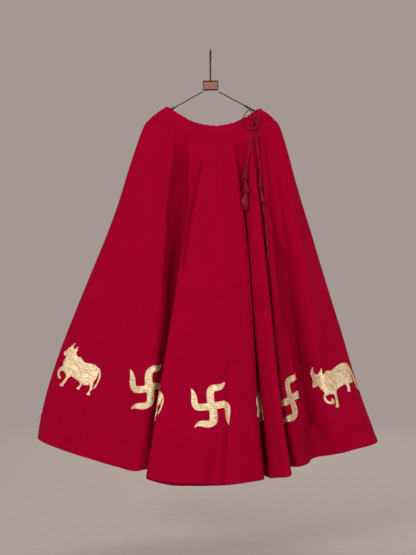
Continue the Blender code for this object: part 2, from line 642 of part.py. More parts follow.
def add_hanger(metal, wood, rubber):
    """Hook, block, frame, arms and grips of the hanger."""
    wire = HOOK_WIRE / 2
    bend = HOOK_INNER + wire
    centre = -HOOK_INNER
    hook = [(0, -bend, centre - HOOK_TIP), (0, -bend, centre - HOOK_TIP / 2)]
    for step in range(17):
        angle = math.pi - math.pi * step / 16
        hook.append((0, bend * math.cos(angle), centre + bend * math.sin(angle)))
    stem_top = BLOCK_TOP - GAP
    hook += [(0, bend * 0.93, centre - 9 * MM), (0, bend * 0.66, centre - 19 * MM),
             (0, bend * 0.28, centre - 28 * MM), (0, bend * 0.05, centre - 37 * MM),
             (0, 0, centre - 46 * MM), (0, 0, -stem_top)]
    add_tube("hanger_hook", smooth_route(hook, 4.5 * MM), HOOK_WIRE, metal, sides=3)

    wide, deep, tall = BLOCK_SIZE
    middle = (BLOCK_X, 0, -BLOCK_TOP - tall / 2)
    frame = add_block("hanger_frame", BLOCK_SIZE, middle, metal, 0)
    window = add_block("frame_window", (wide - 2 * FRAME_EDGE, 2 * deep, tall - 2 * FRAME_EDGE),
                       middle, metal, 0)
    window.hide_render = True
    window.display_type = "WIRE"
    cut = frame.modifiers.new("window", "BOOLEAN")
    cut.object = window
    inset = 2 * (FRAME_EDGE + GAP)
    add_block("hanger_block", (wide - inset, deep - 1.6 * MM, tall - inset), middle, wood, 0.8 * MM)

    for side, sign in (("left", -1), ("right", 1)):
        root = Vector((BLOCK_X + sign * ARM_ROOT["out"], 0, -ARM_ROOT["down"]))
        tip = Vector((ARMS_MIDDLE + sign * ARM_TIP["out"], 0, -ARM_TIP["down"]))
        run = (tip - root).normalized()
        add_tube("hanger_arm_" + side, [root, root + (tip - root) / 2, tip], ARM_WIRE, metal)
        start = root + run * ((GRIP_START[side] - ARM_ROOT["out"]) / abs(run.x))
        end = tip + run * 3 * MM
        length = (end - start).length
        bore = ARM_WIRE / 2 + GAP
        floor = (tip - start).length + GAP
        profile = [(0, floor), (bore, floor), (bore, 0), (GRIP_RADIUS * 0.8, 0),
                   (GRIP_RADIUS, 1.5 * MM), (GRIP_RADIUS, length - 1.2 * MM),
                   (GRIP_RADIUS * 0.6, length), (0, length)]
        add_turned("hanger_grip_" + side, profile, along_axis(start, end), rubber, segments=12)


def build():
    for old in list(bpy.data.objects):
        bpy.data.objects.remove(old, do_unlink=True)
    silk = material("crimson_silk", (0.33, 0.002, 0.026), 0.55)
    facing_silk = material("crimson_facing", (0.16, 0.001, 0.012), 0.7)
    satin = material("maroon_satin", (0.22, 0.012, 0.03), 0.4)
    metal = material("black_metal", (0.02, 0.02, 0.022), 0.3, 0.9)
    wood = material("brown_wood", (0.30, 0.11, 0.07), 0.5)
    rubber = material("black_rubber", (0.01, 0.01, 0.01), 0.6)
    add_cloth(silk, facing_silk)
    add_drawstring(satin)
    add_hanger(metal, wood, rubber)


build()
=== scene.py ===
import math
import random

import bmesh
import bpy
import numpy as np
from mathutils import Matrix, Vector, geometry


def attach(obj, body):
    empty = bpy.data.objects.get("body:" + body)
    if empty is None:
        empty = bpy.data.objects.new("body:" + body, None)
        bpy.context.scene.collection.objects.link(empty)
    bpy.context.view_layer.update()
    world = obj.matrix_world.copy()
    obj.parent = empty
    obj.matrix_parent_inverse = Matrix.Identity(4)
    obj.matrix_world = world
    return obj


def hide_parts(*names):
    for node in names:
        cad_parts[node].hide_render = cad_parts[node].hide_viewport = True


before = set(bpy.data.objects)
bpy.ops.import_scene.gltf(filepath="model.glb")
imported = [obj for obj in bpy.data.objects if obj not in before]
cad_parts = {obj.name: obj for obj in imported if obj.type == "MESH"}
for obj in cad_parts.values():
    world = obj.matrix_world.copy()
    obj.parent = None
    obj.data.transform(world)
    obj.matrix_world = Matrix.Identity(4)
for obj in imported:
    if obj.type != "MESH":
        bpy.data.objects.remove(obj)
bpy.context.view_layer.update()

BODY = "root"
MM = 0.001

# ---- the cloth's form, from the same sizes as the CAD part ------------------------------------

SKIRT_LENGTH = 985 * MM          # from the waist seam to the hem
SIDE_EXTRA = 14 * MM             # how much longer the cloth is at both ends of the waist
SIDE_POWER = 6                   # how closely that length keeps to the ends
WAIST_MIDDLE = 4 * MM
WAIST_HALF_WIDTH = 184 * MM
SHOULDER_BULGE = 11 * MM         # how far the cloth stands out beside the ends of the waist
SHOULDER_RISE = 12 * MM          # run below the seam in which the bulge grows
SHOULDER_REACH = 0.24            # share of the length in which it has gone
LOW_SWING_PEAK = 27 / 256        # the most that down**3 * (1 - down) reaches
HIGH_SWING_PEAK = 4 / 27         # and down * (1 - down)**2
WAIST_TURN = 6 * MM              # depth in which gathers change sides at the waist's ends
CLOTH_WALL = 1.5 * MM
SEAM_GAP = 0.3 * MM
FACING_GAP = 0.3 * MM
FACING_WALL = 0.9 * MM
FACING_STARTS = 0.92             # share of the skirt's length
FACING_DROP = 8 * MM             # how far the facing shows below the front hem
FACING_SHOWS = dict(after=0.028, spread=0.034)   # where: shares of the cloth past fold A's edge
HEM_LENGTH = 3.414               # metres round the hem
WAIST_LENGTH = 0.82              # metres round the waist seam
BAND_HALF_WIDTH = 139 * MM
BAND_MIDDLE = 9 * MM
BAND_TILT = 2.5 * MM             # how much lower the band's right end is than its middle
BAND_PUFF = 2.5 * MM
BAND_TURN = 8 * MM               # depth in which the puff changes sides at the band's ends
BAND_WALL = 3 * MM
BAND_LIFT = 0.8 * MM             # how far the band stands over the waist seam's line
BAND_LENGTH = 0.72               # metres round the middle of the waistband
BAND_HEIGHT = 0.047
BAND_FOOT = (2.0 * MM, 0.8 * MM)   # how far its two lowest rows reach down over the seam
SLIT_WIDTH = 4 * MM

# out: share of the half width; deep: half depth; down: below the origin
WAIST_SEAM = ((0.00, 25, 272), (0.24, 24.5, 267), (0.42, 23, 254), (0.54, 21, 241),
              (0.65, 18.5, 226), (0.77, 15.5, 214), (0.89, 11.5, 207.5), (0.97, 6.5, 203.5),
              (1.00, 0, 202.3))
BAND_TOP = ((0.00, 22, 226.5), (0.22, 21.5, 223), (0.45, 20, 214), (0.65, 17.5, 199.5),
            (0.80, 14.5, 187), (0.92, 10.5, 174.5), (0.98, 6, 170.5), (1.00, 0, 170))
# Ridges, flanks and valleys of the folds along the hem, once round from the left side:
# x, front, bow (swing of the fold's line to +X), drop (how much lower the hem hangs).
HEM_FOLDS = (
    (-510, 0, -25, 0), (-492, 30, -22, 2), (-430, 66, -16, 6), (-350, 98, -10, 9),
    (-266, 132, -6, 9), (-206, 163, -2, 3), (-185, 160, 0, -6), (-165, 140, 0, -6),
    (-122, 94, 0, -4), (-94, 68, 0, 0), (-78, 76, 0, 0), (-96, 118, 0, -4),
    (-138, 162, 0, -8), (-170, 186, 0, -11), (-183, 200, 0, -12), (-168, 212, 0, -11),
    (-120, 220, 0, -8), (-50, 229, 0, -10), (0, 222, 0, -8), (50, 226, 0, -8),
    (100, 202, 0, -9), (138, 172, 0, -8), (145, 154, 0, -7), (131, 130, 0, -5),
    (127, 96, 0, 0), (143, 88, 0, 0), (158, 122, -3, 6), (163, 160, -4, 10),
    (182, 186, -4, 11), (208, 203, -6, 13), (216, 194, -6, 10), (200, 160, -7, 6),
    (196, 126, -8, 0), (212, 116, -12, 3), (240, 146, -16, 6), (266, 120, -18, 7),
    (306, 32, -4, 3), (331, 84, -4, -2), (356, 106, -7, -7), (408, 74, -5, -7),
    (474, 34, -3, 6), (494, 0, -3, 12), (476, -36, -3, 8), (410, -78, -5, 0),
    (342, -110, -6, -4), (296, -98, -6, 0), (238, -138, -4, 0), (198, -160, 0, 0),
    (172, -140, 0, 0), (134, -96, 0, 0), (112, -74, 0, 0), (96, -86, 0, 0),
    (112, -132, 0, 0), (150, -184, 0, 0), (160, -204, 0, 0), (142, -214, 0, 0),
    (84, -224, 0, 0), (26, -214, 0, 0), (-36, -232, 0, 0), (-96, -222, 0, 0),
    (-144, -202, 0, 0), (-152, -182, 0, 0), (-134, -136, 0, 0), (-128, -98, 0, 0),
    (-146, -88, 0, 0), (-164, -126, 0, 0), (-190, -166, -2, 0), (-226, -172, -4, 0),
    (-270, -124, -6, 0), (-312, -124, -8, 0), (-370, -106, -12, 0), (-440, -68, -18, 0),
    (-494, -28, -23, 0),
)
# Rows of HEM_FOLDS whose line also swings high up, and whose cloth is shifted along the waist:
# row, swing to +X, shift towards the right side.
HIGH_FOLDS = {20: (6, 0), 21: (17, 2), 22: (18, 3), 23: (14, 5), 24: (6, 8), 25: (-2, 11),
              26: (-8, 14), 27: (-10, 15), 28: (-5, 14), 29: (0, 12), 30: (2, 12), 31: (2, 11),
              32: (1, 10), 33: (-1, 9), 34: (-5, 7), 35: (-6, 4), 36: (-1, 1), 37: (2, 0),
              38: (8, 0), 39: (15, 0), 40: (19, 0), 41: (19, 0), 42: (19, 0), 43: (15, 0),
              44: (7, 0)}
# Gathers below the waist seam: share, out, share of the length in which they fade.
GATHERS = (
    (0.03, -1.6, 0.16), (0.052, 1.8, 0.22), (0.076, -2.2, 0.3), (0.098, 2.4, 0.26),
    (0.106, 4.0, 0.32), (0.119, -5.0, 0.38), (0.129, -10.0, 0.4), (0.139, -16.0, 0.4),
    (0.149, -19.0, 0.38), (0.158, -8.0, 0.3), (0.172, 3.0, 0.28), (0.196, 4.0, 0.28),
    (0.2085, -5.0, 0.26), (0.222, 2.5, 0.24), (0.252, -1.6, 0.12), (0.276, 1.8, 0.18),
    (0.3, -1.8, 0.14), (0.314, 2.6, 0.22), (0.33, -9.0, 0.3), (0.341, -14.0, 0.34),
    (0.352, -12.0, 0.32), (0.377, 4.0, 0.24), (0.398, -7.5, 0.26), (0.41, -9.0, 0.26),
    (0.421, -5.5, 0.24), (0.433, 3.5, 0.26), (0.45, -4.0, 0.42), (0.472, 1.8, 0.2),
    (0.505, -1.6, 0.16), (0.56, -2.0, 0.18), (0.588, 2.2, 0.24), (0.612, -2.8, 0.26),
    (0.636, 2.6, 0.2), (0.66, -3.2, 0.3), (0.682, 2.8, 0.2), (0.706, -2.4, 0.16),
    (0.738, 2.0, 0.2), (0.768, -2.2, 0.14), (0.797, 2.4, 0.22), (0.82, -3.0, 0.26),
    (0.842, 2.6, 0.22), (0.866, -3.2, 0.28), (0.89, 2.4, 0.2), (0.918, -2.4, 0.24),
    (0.948, 2.0, 0.18),
)
GATHER_WIDTH = 0.0085            # share of the cloth
GATHER_STARTS = 0.050            # share of the length in which they grow
# Rows of HEM_FOLDS at the bottom of the folds that hide the panels' seams.
SEAM_ROWS = dict(front=(9, 10), right_front=(32, 33), right_back=(43,), back=(50, 51),
                 left=(63, 64))
FOLD_A_ROWS = (13, 14, 15)       # the edge of the front panel over the left deep fold


HEM_PER_SPAN = 16                # points from one row of HEM_FOLDS to the next


def smooth_ring(points, per_span=HEM_PER_SPAN):
    """Dense closed curve through the points; chord lengths come from the first two columns."""
    ring = np.asarray(points, float)
    back = ring - np.roll(ring, 1, axis=0)
    ahead = np.roll(ring, -1, axis=0) - ring
    chord_back = np.linalg.norm(back[:, :2], axis=1)[:, None]
    chord = np.linalg.norm(ahead[:, :2], axis=1)[:, None]
    slope = (back / chord_back * chord + ahead / chord * chord_back) / (chord_back + chord)
    after = np.roll(ring, -1, axis=0)
    slope_after = np.roll(slope, -1, axis=0)
    steps = []
    for step in range(per_span):
        t = step / per_span
        steps.append(ring * (2 * t**3 - 3 * t**2 + 1)
                     + slope * chord * (t**3 - 2 * t**2 + t)
                     + after * (3 * t**2 - 2 * t**3)
                     + slope_after * chord * (t**3 - t**2))
    return np.stack(steps, axis=1).reshape(-1, ring.shape[1])


class Ring:
    """A closed curve that is read by the share of its length, from 0 to 1."""

    def __init__(self, dense, measured):
        closed = np.vstack([dense, dense[:1]])
        run = np.linalg.norm(np.diff(closed[:, :measured], axis=0), axis=1)
        self.length = run.sum()
        self.shares = np.concatenate([[0.0], np.cumsum(run)]) / self.length
        self.closed = closed

    def at(self, share):
        share = np.mod(share, 1.0)
        columns = [np.interp(share, self.shares, values) for values in self.closed.T]
        return np.stack(columns, axis=-1)


def flat_ring(table, middle, half_width):
    """The closed line of a seam that is alike at the front and back and on both sides."""
    half = [(out * half_width, -deep * MM, -down * MM) for out, deep, down in table]
    front = [(-x, y, z) for x, y, z in reversed(half[1:])] + half
    back = [(x, -y, z) for x, y, z in reversed(front[1:-1])]
    points = np.array(front + back)
    points[:, 0] += middle
    return Ring(smooth_ring(points), 3)


WAIST = flat_ring(WAIST_SEAM, WAIST_MIDDLE, WAIST_HALF_WIDTH)
BAND_EDGE = flat_ring(BAND_TOP, BAND_MIDDLE, BAND_HALF_WIDTH)
high = [HIGH_FOLDS.get(row, (0, 0)) for row in range(len(HEM_FOLDS))]
HEM = Ring(smooth_ring(np.hstack([np.array(HEM_FOLDS) * (1, -1, 1, 1), high]) * MM), 2)


def share_at(rows):
    """Place round the cloth of these rows of HEM_FOLDS, on average."""
    return float(np.mean([HEM.shares[row * HEM_PER_SPAN] for row in rows]))


SIDE_OPENING = share_at(SEAM_ROWS["right_front"])
SEAMS = {name: SIDE_OPENING + (share_at(rows) - SIDE_OPENING) % 1.0
         for name, rows in SEAM_ROWS.items()}
BAND_OPENING = SIDE_OPENING + HEM.at(SIDE_OPENING)[5] / WAIST_LENGTH


def apart(share, other):
    """Signed distance round the cloth, from -0.5 to 0.5."""
    return np.mod(share - other + 0.5, 1.0) - 0.5


def hill(far, wide):
    """1 in the middle, fading to nothing beyond about twice the half width."""
    return np.exp(-(far / wide) ** 2)


def round_at(down):
    """Metres round the cloth at this height."""
    return WAIST_LENGTH + (HEM_LENGTH - WAIST_LENGTH) * down


def skirt_form(share, down):
    """Points of the skirt's outer face without its fine creases; two arrays of one shape."""
    hem = HEM.at(share)
    waist = WAIST.at(share + hem[..., 5] / WAIST_LENGTH)
    side = np.abs((waist[..., 0] - WAIST_MIDDLE) / WAIST_HALF_WIDTH) ** SIDE_POWER
    outwards = np.sign(waist[..., 0] - WAIST_MIDDLE)
    reach = SKIRT_LENGTH + SIDE_EXTRA * side
    level_run = np.hypot(hem[..., 0] - waist[..., 0], hem[..., 1] - waist[..., 1])
    hem_z = waist[..., 2] - np.sqrt(reach**2 - level_run**2) - hem[..., 3]
    swing = hem[..., 2] * down**3 * (1 - down) / LOW_SWING_PEAK
    swing += hem[..., 4] * down * (1 - down)**2 / HIGH_SWING_PEAK
    bulge = SHOULDER_BULGE * (1 - np.exp(-down * SKIRT_LENGTH / SHOULDER_RISE))
    bulge *= np.exp(-(down / SHOULDER_REACH) ** 4)
    push = np.zeros_like(share)
    for centre, out, fades in GATHERS:
        push += out * MM * hill(apart(share, centre), GATHER_WIDTH) * hill(down, fades)
    push *= 1 - hill(down, GATHER_STARTS)
    x = waist[..., 0] * (1 - down) + hem[..., 0] * down + swing + outwards * side * bulge
    y = waist[..., 1] * (1 - down) + hem[..., 1] * down
    y += np.tanh(waist[..., 1] / WAIST_TURN) * push
    z = waist[..., 2] * (1 - down) + hem_z * down
    return np.stack([x, y, z], axis=-1)


# Creases: share at the start and at the end, down at the start and at the end, out in mm
# (troughs are negative), half width in mm.
CREASES = (
    (0.02, 0.022, 0.1, 0.7, -2.0, 22), (0.05, 0.046, 0.25, 1.0, 2.2, 26),
    (0.078, 0.084, 0.04, 0.42, -2.4, 12), (0.094, 0.1, 0.3, 0.95, 1.8, 20),
    (0.128, 0.13, 0.08, 0.58, -15, 26), (0.2085, 0.2095, 0.17, 0.45, -11, 4.5),
    (0.2185, 0.2085, 0.03, 0.26, -10, 4.5), (0.2345, 0.2345, 0.52, 0.96, -7, 26),
    (0.246, 0.243, 0.1, 0.8, -2.2, 14), (0.248, 0.248, 0.5, 0.95, -12, 55),
    (0.275, 0.26, 0.6, 1.0, -19, 22), (0.28, 0.269, 0.55, 1.0, 6, 9),
    (0.3, 0.306, 0.02, 0.55, 2.4, 14), (0.33, 0.322, 0.45, 1.0, -1.6, 18),
    (0.428, 0.43, 0.26, 0.78, 4, 10), (0.437, 0.4605, 0.2, 0.46, -10, 5),
    (0.441, 0.441, 0.55, 0.97, 10, 12), (0.45, 0.451, 0.28, 0.7, -9, 12),
    (0.4505, 0.4505, 0.55, 0.97, -15, 13), (0.4575, 0.459, 0.38, 0.76, -6, 5.5),
    (0.46, 0.46, 0.9, 1.0, 26, 24), (0.46, 0.47, 0.06, 0.5, -2.2, 14),
    (0.479, 0.479, 0.905, 1.24, -18, 80), (0.482, 0.488, 0.74, 1.0, -6, 40),
    (0.486, 0.48, 0.3, 0.92, 2.0, 20), (0.52, 0.528, 0.05, 0.45, 2.4, 16),
    (0.548, 0.54, 0.3, 0.96, -2.4, 20), (0.58, 0.59, 0.02, 0.55, -2.0, 12),
    (0.646, 0.64, 0.2, 0.75, 2.6, 18), (0.706, 0.714, 0.03, 0.6, -2.6, 14),
    (0.742, 0.736, 0.35, 1.0, 2.4, 24), (0.78, 0.79, 0.08, 0.7, -2.2, 16),
    (0.822, 0.815, 0.4, 1.0, 1.8, 20), (0.88, 0.89, 0.04, 0.5, 2.4, 12),
    (0.915, 0.905, 0.25, 0.9, -2.6, 20), (0.95, 0.958, 0.05, 0.6, 2.2, 16),
    (0.978, 0.984, 0.3, 1.0, -2.0, 22),
)
STITCH_DOWN = FACING_STARTS      # the line of stitches that holds the facing's edge
CREASE_ENDS = 3.5                # a crease grows and fades over 1 / this of its length
FINE_STARTS = 0.004              # share of the length in which the fine gathers grow
FINE_REACH = 0.3                 # and below which there are none
PUCKER_REACH = 0.09              # share of the length beside the stitches that puckers
# How the cloth is drawn in at the waist seam and along the panels' seams, in mm; reach is a
# share of the length. The stitches' pull swells in waves: mm, turns round the cloth, start.
WAIST_DIP = dict(out=-1.8, reach=0.005)
SEAM_GROOVE = dict(out=-0.8, wide=2.0)
STITCH_PULL = dict(out=-0.35, waves=((0.2, 312, 0), (0.15, 731, 1)), tall=2.2)
# The faced hem stands out a little: mm, and from where to where below the stitches.
FACED_STEP = dict(out=0.5, starts=-2, ends=4)


def ease(value):
    """0 to 1 with soft ends."""
    value = np.clip(value, 0, 1)
    return value * value * (3 - 2 * value)


def seeded_rows(seed, count, *ranges):
    """count rows of seeded numbers; ranges are (lowest, highest) of each column."""
    draw = random.Random(seed)
    return [[draw.uniform(low, high) for low, high in ranges] for _ in range(count)]


def spaced_rows(seed, count, *ranges):
    """Seeded rows at even shares round the cloth; the first range is by how much each is off."""
    return [(k / count + off, *rest)
            for k, (off, *rest) in enumerate(seeded_rows(seed, count, *ranges))]


# Fine gathers at the seam: share, out, half width in mm at the waist, share of length.
FINE_GATHERS = spaced_rows(11, 120, (-0.003, 0.003), (-1.3, 1.1), (1.6, 3.2), (0.015, 0.075))
# Puckers along the hem's line of stitches: share, mm below the line, out, half width and half
# height in mm. Most are long and low.
PUCKERS = spaced_rows(23, 210, (-0.0022, 0.0022), (-17, 9), (-2.4, 1.6), (9, 26), (2.6, 6.0))
# Wrinkles that stand out: share, down, out, half width and half height in mm.
WRINKLES = (
    (0.0175, 0.95, -4.9, 8, 9), (0.0221, 0.908, -6.1, 8, 12), (0.0273, 0.915, 4.2, 7, 9),
    (0.033, 0.938, -3.8, 12, 7), (0.0401, 0.958, 4.2, 8, 10), (0.0459, 0.956, -6.8, 9, 14),
    (0.0471, 0.89, -6.8, 5, 17), (0.052, 0.905, 3.0, 9, 12), (0.0645, 0.9185, -4.2, 13, 4),
    (0.0855, 0.9285, -3.4, 22, 3.4), (0.0855, 0.921, 2.5, 24, 4.5), (0.21, 0.92, -3.4, 16, 5),
    (0.22, 0.94, 3.0, 18, 7), (0.23, 0.905, -2.7, 24, 4), (0.247, 0.915, -2.7, 18, 4.5),
    (0.47, 0.92, -4.6, 20, 6), (0.476, 0.7, 3.4, 26, 9), (0.48, 0.65, -3.8, 30, 9),
    (0.485, 0.93, -3.8, 16, 5), (0.492, 0.68, -4.2, 34, 9), (0.5, 0.665, 3.0, 24, 9),
    (0.5, 0.925, 3.0, 18, 6), (0.502, 0.715, -3.4, 26, 10), (0.515, 0.95, -3.0, 16, 6),
)
# Soft unevenness of the cloth: share, down, out, half width and half height in mm.
DENTS = seeded_rows(37, 90, (0, 1), (0.12, 0.97), (-1.5, 1.5), (18, 45), (40, 120))


def waist_relief(share, down):
    """The fine gathers under the waist seam, in mm."""
    push = np.zeros_like(share)
    for centre, out, wide, fades in FINE_GATHERS:
        off = apart(share, centre) * WAIST_LENGTH
        push += out * hill(off, wide * MM) * hill(down, fades)
    push *= 1 - np.exp(-down / FINE_STARTS)
    return push + WAIST_DIP["out"] * hill(down, WAIST_DIP["reach"])


def hem_relief(share, down):
    """The puckers beside the stitches and the faced hem's small step, in mm."""
    low = (down - STITCH_DOWN) * SKIRT_LENGTH / MM
    push = np.zeros_like(share)
    for centre, below, out, wide, tall in PUCKERS:
        off = apart(share, centre) * HEM_LENGTH
        push += out * hill(off, wide * MM) * hill(low - below, tall)
    pull = STITCH_PULL["out"] - sum(swell * np.sin(share * turns + start)
                                    for swell, turns, start in STITCH_PULL["waves"])
    push += pull * hill(low, STITCH_PULL["tall"])
    starts, ends = FACED_STEP["starts"], FACED_STEP["ends"]
    return push + FACED_STEP["out"] * ease((low - starts) / (ends - starts))


def relief(share, down):
    """How far the fine creases push the cloth out, in metres."""
    metres = round_at(down)
    push = np.zeros_like(share)
    for first, last, start, end, out, wide in CREASES:
        along = (down - start) / (end - start)
        off = apart(share, first + (last - first) * along) * metres
        fade = 1.0 if end >= 1 else ease((1 - along) * CREASE_ENDS)
        push += out * ease(along * CREASE_ENDS) * fade * hill(off, wide * MM)
    near = down < FINE_REACH
    push[near] += waist_relief(share[near], down[near])
    near = np.abs(down - STITCH_DOWN) < PUCKER_REACH
    push[near] += hem_relief(share[near], down[near])
    push[down >= STITCH_DOWN + PUCKER_REACH] += FACED_STEP["out"]
    for centre, middle, out, wide, tall in (*DENTS, *WRINKLES):
        off = apart(share, centre) * metres
        push += out * hill(off, wide * MM) * hill((down - middle) * SKIRT_LENGTH, tall * MM)
    for seam in SEAMS.values():
        off = apart(share, seam) * metres
        push += SEAM_GROOVE["out"] * hill(off, SEAM_GROOVE["wide"] * MM)
    return push * MM


def units(vectors):
    """The same directions, each one long."""
    return vectors / np.linalg.norm(vectors, axis=-1)[..., None]


# Steps in share and in height across which a surface's slope is taken.
SKIRT_STEPS = (0.0012, 0.004)
BAND_STEPS = (0.0025, 0.03)
STITCH_STEPS = (0.0004, 0.002)


def outward(form, first, second, step_first, step_second):
    """Unit vectors out of a surface that is given by its two parameters."""
    along = form(first + step_first, second) - form(first - step_first, second)
    below = form(first, second + step_second) - form(first, second - step_second)
    return units(np.cross(below, along))


def skirt_outward(share, down):
    """Unit vectors out of the skirt."""
    return outward(skirt_form, share, down, *SKIRT_STEPS)


def skirt_surface(share, down, lift=0.0):
    """Outer face of the skirt with its creases, moved out by lift metres."""
    out = skirt_outward(share, down)
    return skirt_form(share, down) + out * (relief(share, down) + lift)[..., None]


def band_form(share, up):
    """Outer face of the waistband; up runs from 0 at the waist seam to 1 at its top edge."""
    top = BAND_EDGE.at(share)
    seam = WAIST.at(share)
    top[..., 2] -= BAND_TILT * (top[..., 0] - BAND_MIDDLE) / BAND_HALF_WIDTH
    outwards = np.clip(top[..., 1] / BAND_TURN, -1, 1)
    point = seam * (1 - up)[..., None] + top * up[..., None]
    round_out = BAND_PUFF * 4 * up * (1 - up)
    point[..., 1] += outwards * round_out
    point[..., 2] += round_out / 2
    return point


# Gathers of the waistband: share, out, half width in mm, how far down from the top they run.
BAND_GATHERS = spaced_rows(5, 36, (-0.006, 0.006), (0.8, 2.0), (3.5, 5.5), (0.35, 0.9))
# Small tucks at its foot: share, out, half width in mm, how far up they run.
BAND_TUCKS = spaced_rows(6, 78, (-0.005, 0.005), (-1.0, 0.8), (1.8, 3.4), (0.3, 0.8))
# Crumples of the casing: share, up, out, half width in mm, half height as a share.
BAND_DENTS = seeded_rows(8, 46, (0, 1), (0.1, 0.8), (-2.0, 1.2), (5, 13), (0.12, 0.30))
# Lines of stitches: height as a share, how far in they pull in mm, half height as a share.
BAND_STITCHES = dict(top=(0.84, 1.0, 0.035), seam=(0.07, 0.7, 0.03))
BAND_INSET = 0.6 * MM            # mean height of the gathers, taken off again
SCALLOP = dict(tall=0.45, wide=1.5, starts=0.75)   # against a gather's own height and width
BAND_TOP_LENGTH = 0.62           # metres round the band's top edge


def band_relief(share, up):
    """How far the band's gathers and crumples push it out, in metres."""
    push = np.zeros_like(share)
    for tucks, far in ((BAND_GATHERS, 1 - up), (BAND_TUCKS, up)):
        for centre, out, wide, deep in tucks:
            off = apart(share, centre) * BAND_LENGTH
            push += out * MM * hill(off, wide * MM) * hill(far, deep)
    for middle, pull, tall in BAND_STITCHES.values():
        push -= pull * MM * hill(up - middle, tall)
    for centre, middle, out, wide, tall in BAND_DENTS:
        off = apart(share, centre) * BAND_LENGTH
        push += out * MM * hill(off, wide * MM) * hill(up - middle, tall)
    return push - BAND_INSET


def band_surface(share, up, lift=0.0):
    """Outer face of the waistband with its gathers, moved out by lift metres."""
    out = -outward(band_form, share, up, *BAND_STEPS)
    point = band_form(share, up) + out * (band_relief(share, up) + lift)[..., None]
    scallop = np.zeros_like(share)
    for centre, tall, wide, _ in BAND_GATHERS:
        off = apart(share, centre) * BAND_TOP_LENGTH
        scallop += SCALLOP["tall"] * tall * MM * hill(off, SCALLOP["wide"] * wide * MM)
    high = ease((up - SCALLOP["starts"]) / (1 - SCALLOP["starts"]))
    point[..., 2] += (scallop - BAND_INSET) * high
    return point


# ---- materials --------------------------------------------------------------------------------


SILK_GLEAM = (1.0, 0.03, 0.14, 1)


class Finish:
    """A procedural material: short names for adding and joining its nodes."""

    def __init__(self, name, colour, roughness, metallic=0.0, **sockets):
        self.material = bpy.data.materials.new(name)
        self.material.use_nodes = True
        self.tree = self.material.node_tree
        self.shader = self.tree.nodes["Principled BSDF"]
        self.shade(base_color=(*colour, 1), roughness=roughness, metallic=metallic, **sockets)

    def fill(self, socket, value):
        """Links the socket to another node's output, or sets its value."""
        if isinstance(value, bpy.types.NodeSocket):
            self.tree.links.new(value, socket)
        else:
            socket.default_value = value

    def shade(self, **sockets):
        """Links or values for the shader's own sockets."""
        for word, value in sockets.items():
            title = word.replace("_", " ").title().replace("Ior", "IOR")
            self.fill(self.shader.inputs[title], value)

    def node(self, kind, *inputs, **settings):
        """A new node: inputs go to its sockets in order, settings to what has their name."""
        made = self.tree.nodes.new("ShaderNode" + kind)
        for socket, value in zip(made.inputs, inputs):
            self.fill(socket, value)
        for key, value in settings.items():
            if key in made.inputs:
                self.fill(made.inputs[key], value)
            else:
                setattr(made, key, value)
        return made

    def place(self, kind="Object", scale=(1, 1, 1), turn=(0, 0, 0)):
        """Coordinates: Object, in metres, or UV, in metres of cloth."""
        where = self.node("TexCoord").outputs[kind]
        return self.node("Mapping", Vector=where, Scale=scale, Rotation=turn).outputs["Vector"]

    def noise(self, where, scale, detail=3.0, rough=0.5, distortion=0.0):
        return self.node("TexNoise", Vector=where, Scale=scale, Detail=detail, Roughness=rough,
                         Distortion=distortion).outputs["Fac"]

    def wave(self, where, scale, direction="X", distortion=0.0, detail=2.0):
        return self.node("TexWave", Vector=where, Scale=scale, Detail=detail,
                         Distortion=distortion, bands_direction=direction).outputs["Fac"]

    def math(self, operation, first, second):
        return self.node("Math", first, second, operation=operation).outputs["Value"]

    def blend(self, first, first_part, second, second_part):
        """The sum of two factors, each times its own part."""
        return self.math("ADD", self.math("MULTIPLY", first, first_part),
                         self.math("MULTIPLY", second, second_part))

    def spread(self, factor, low, high, new_low, new_high):
        """The factor's range from low to high, stretched over the new one."""
        return self.node("MapRange", factor, low, high, new_low, new_high).outputs["Result"]

    def colours(self, factor, *stops):
        """Colours along the factor; each stop is a place from 0 to 1 and its colour."""
        ramp = self.node("ValToRGB", factor)
        elements = ramp.color_ramp.elements
        while len(elements) < len(stops):
            elements.new(0.5)
        for element, (place, colour) in zip(elements, stops):
            element.position = place
            element.color = (*colour, 1)
        return ramp.outputs["Color"]

    def bump(self, height, distance, strength=1.0, **under):
        return self.node("Bump", Height=height, Distance=distance, Strength=strength,
                         **under).outputs["Normal"]


def silk(name, colour, shade, thread=0.55 * MM, sheen=0.06, roughness=0.78):
    """Plain woven silk with uneven threads; its UV map is in metres of cloth."""
    made = Finish(name, colour, roughness, sheen_weight=sheen, sheen_roughness=0.45,
                  sheen_tint=SILK_GLEAM, specular_tint=SILK_GLEAM, specular_ior_level=0.12)
    cloth = made.place("UV")
    weave = made.math("MULTIPLY", made.wave(cloth, 0.5 / thread, "X", 1.2),
                      made.wave(cloth, 0.5 / thread, "Y", 1.2))
    slub = made.math("ADD", made.noise(made.place("UV", (900, 35, 1)), 1.0),
                     made.noise(made.place("UV", (30, 800, 1)), 1.0))
    cloud = made.noise(cloth, 9.0, 4, 0.55)
    tone = made.math("ADD", made.spread(slub, 0.7, 1.3, -0.28, 0.28),
                     made.spread(cloud, 0.3, 0.7, 0.30, 0.70))
    made.shade(base_color=made.colours(tone, (0.15, shade), (0.85, colour)),
               roughness=made.spread(slub, 0.7, 1.3, roughness - 0.07, roughness + 0.07),
               normal=made.bump(made.blend(weave, 0.5, slub, 0.6), 0.18 * MM))
    return made.material


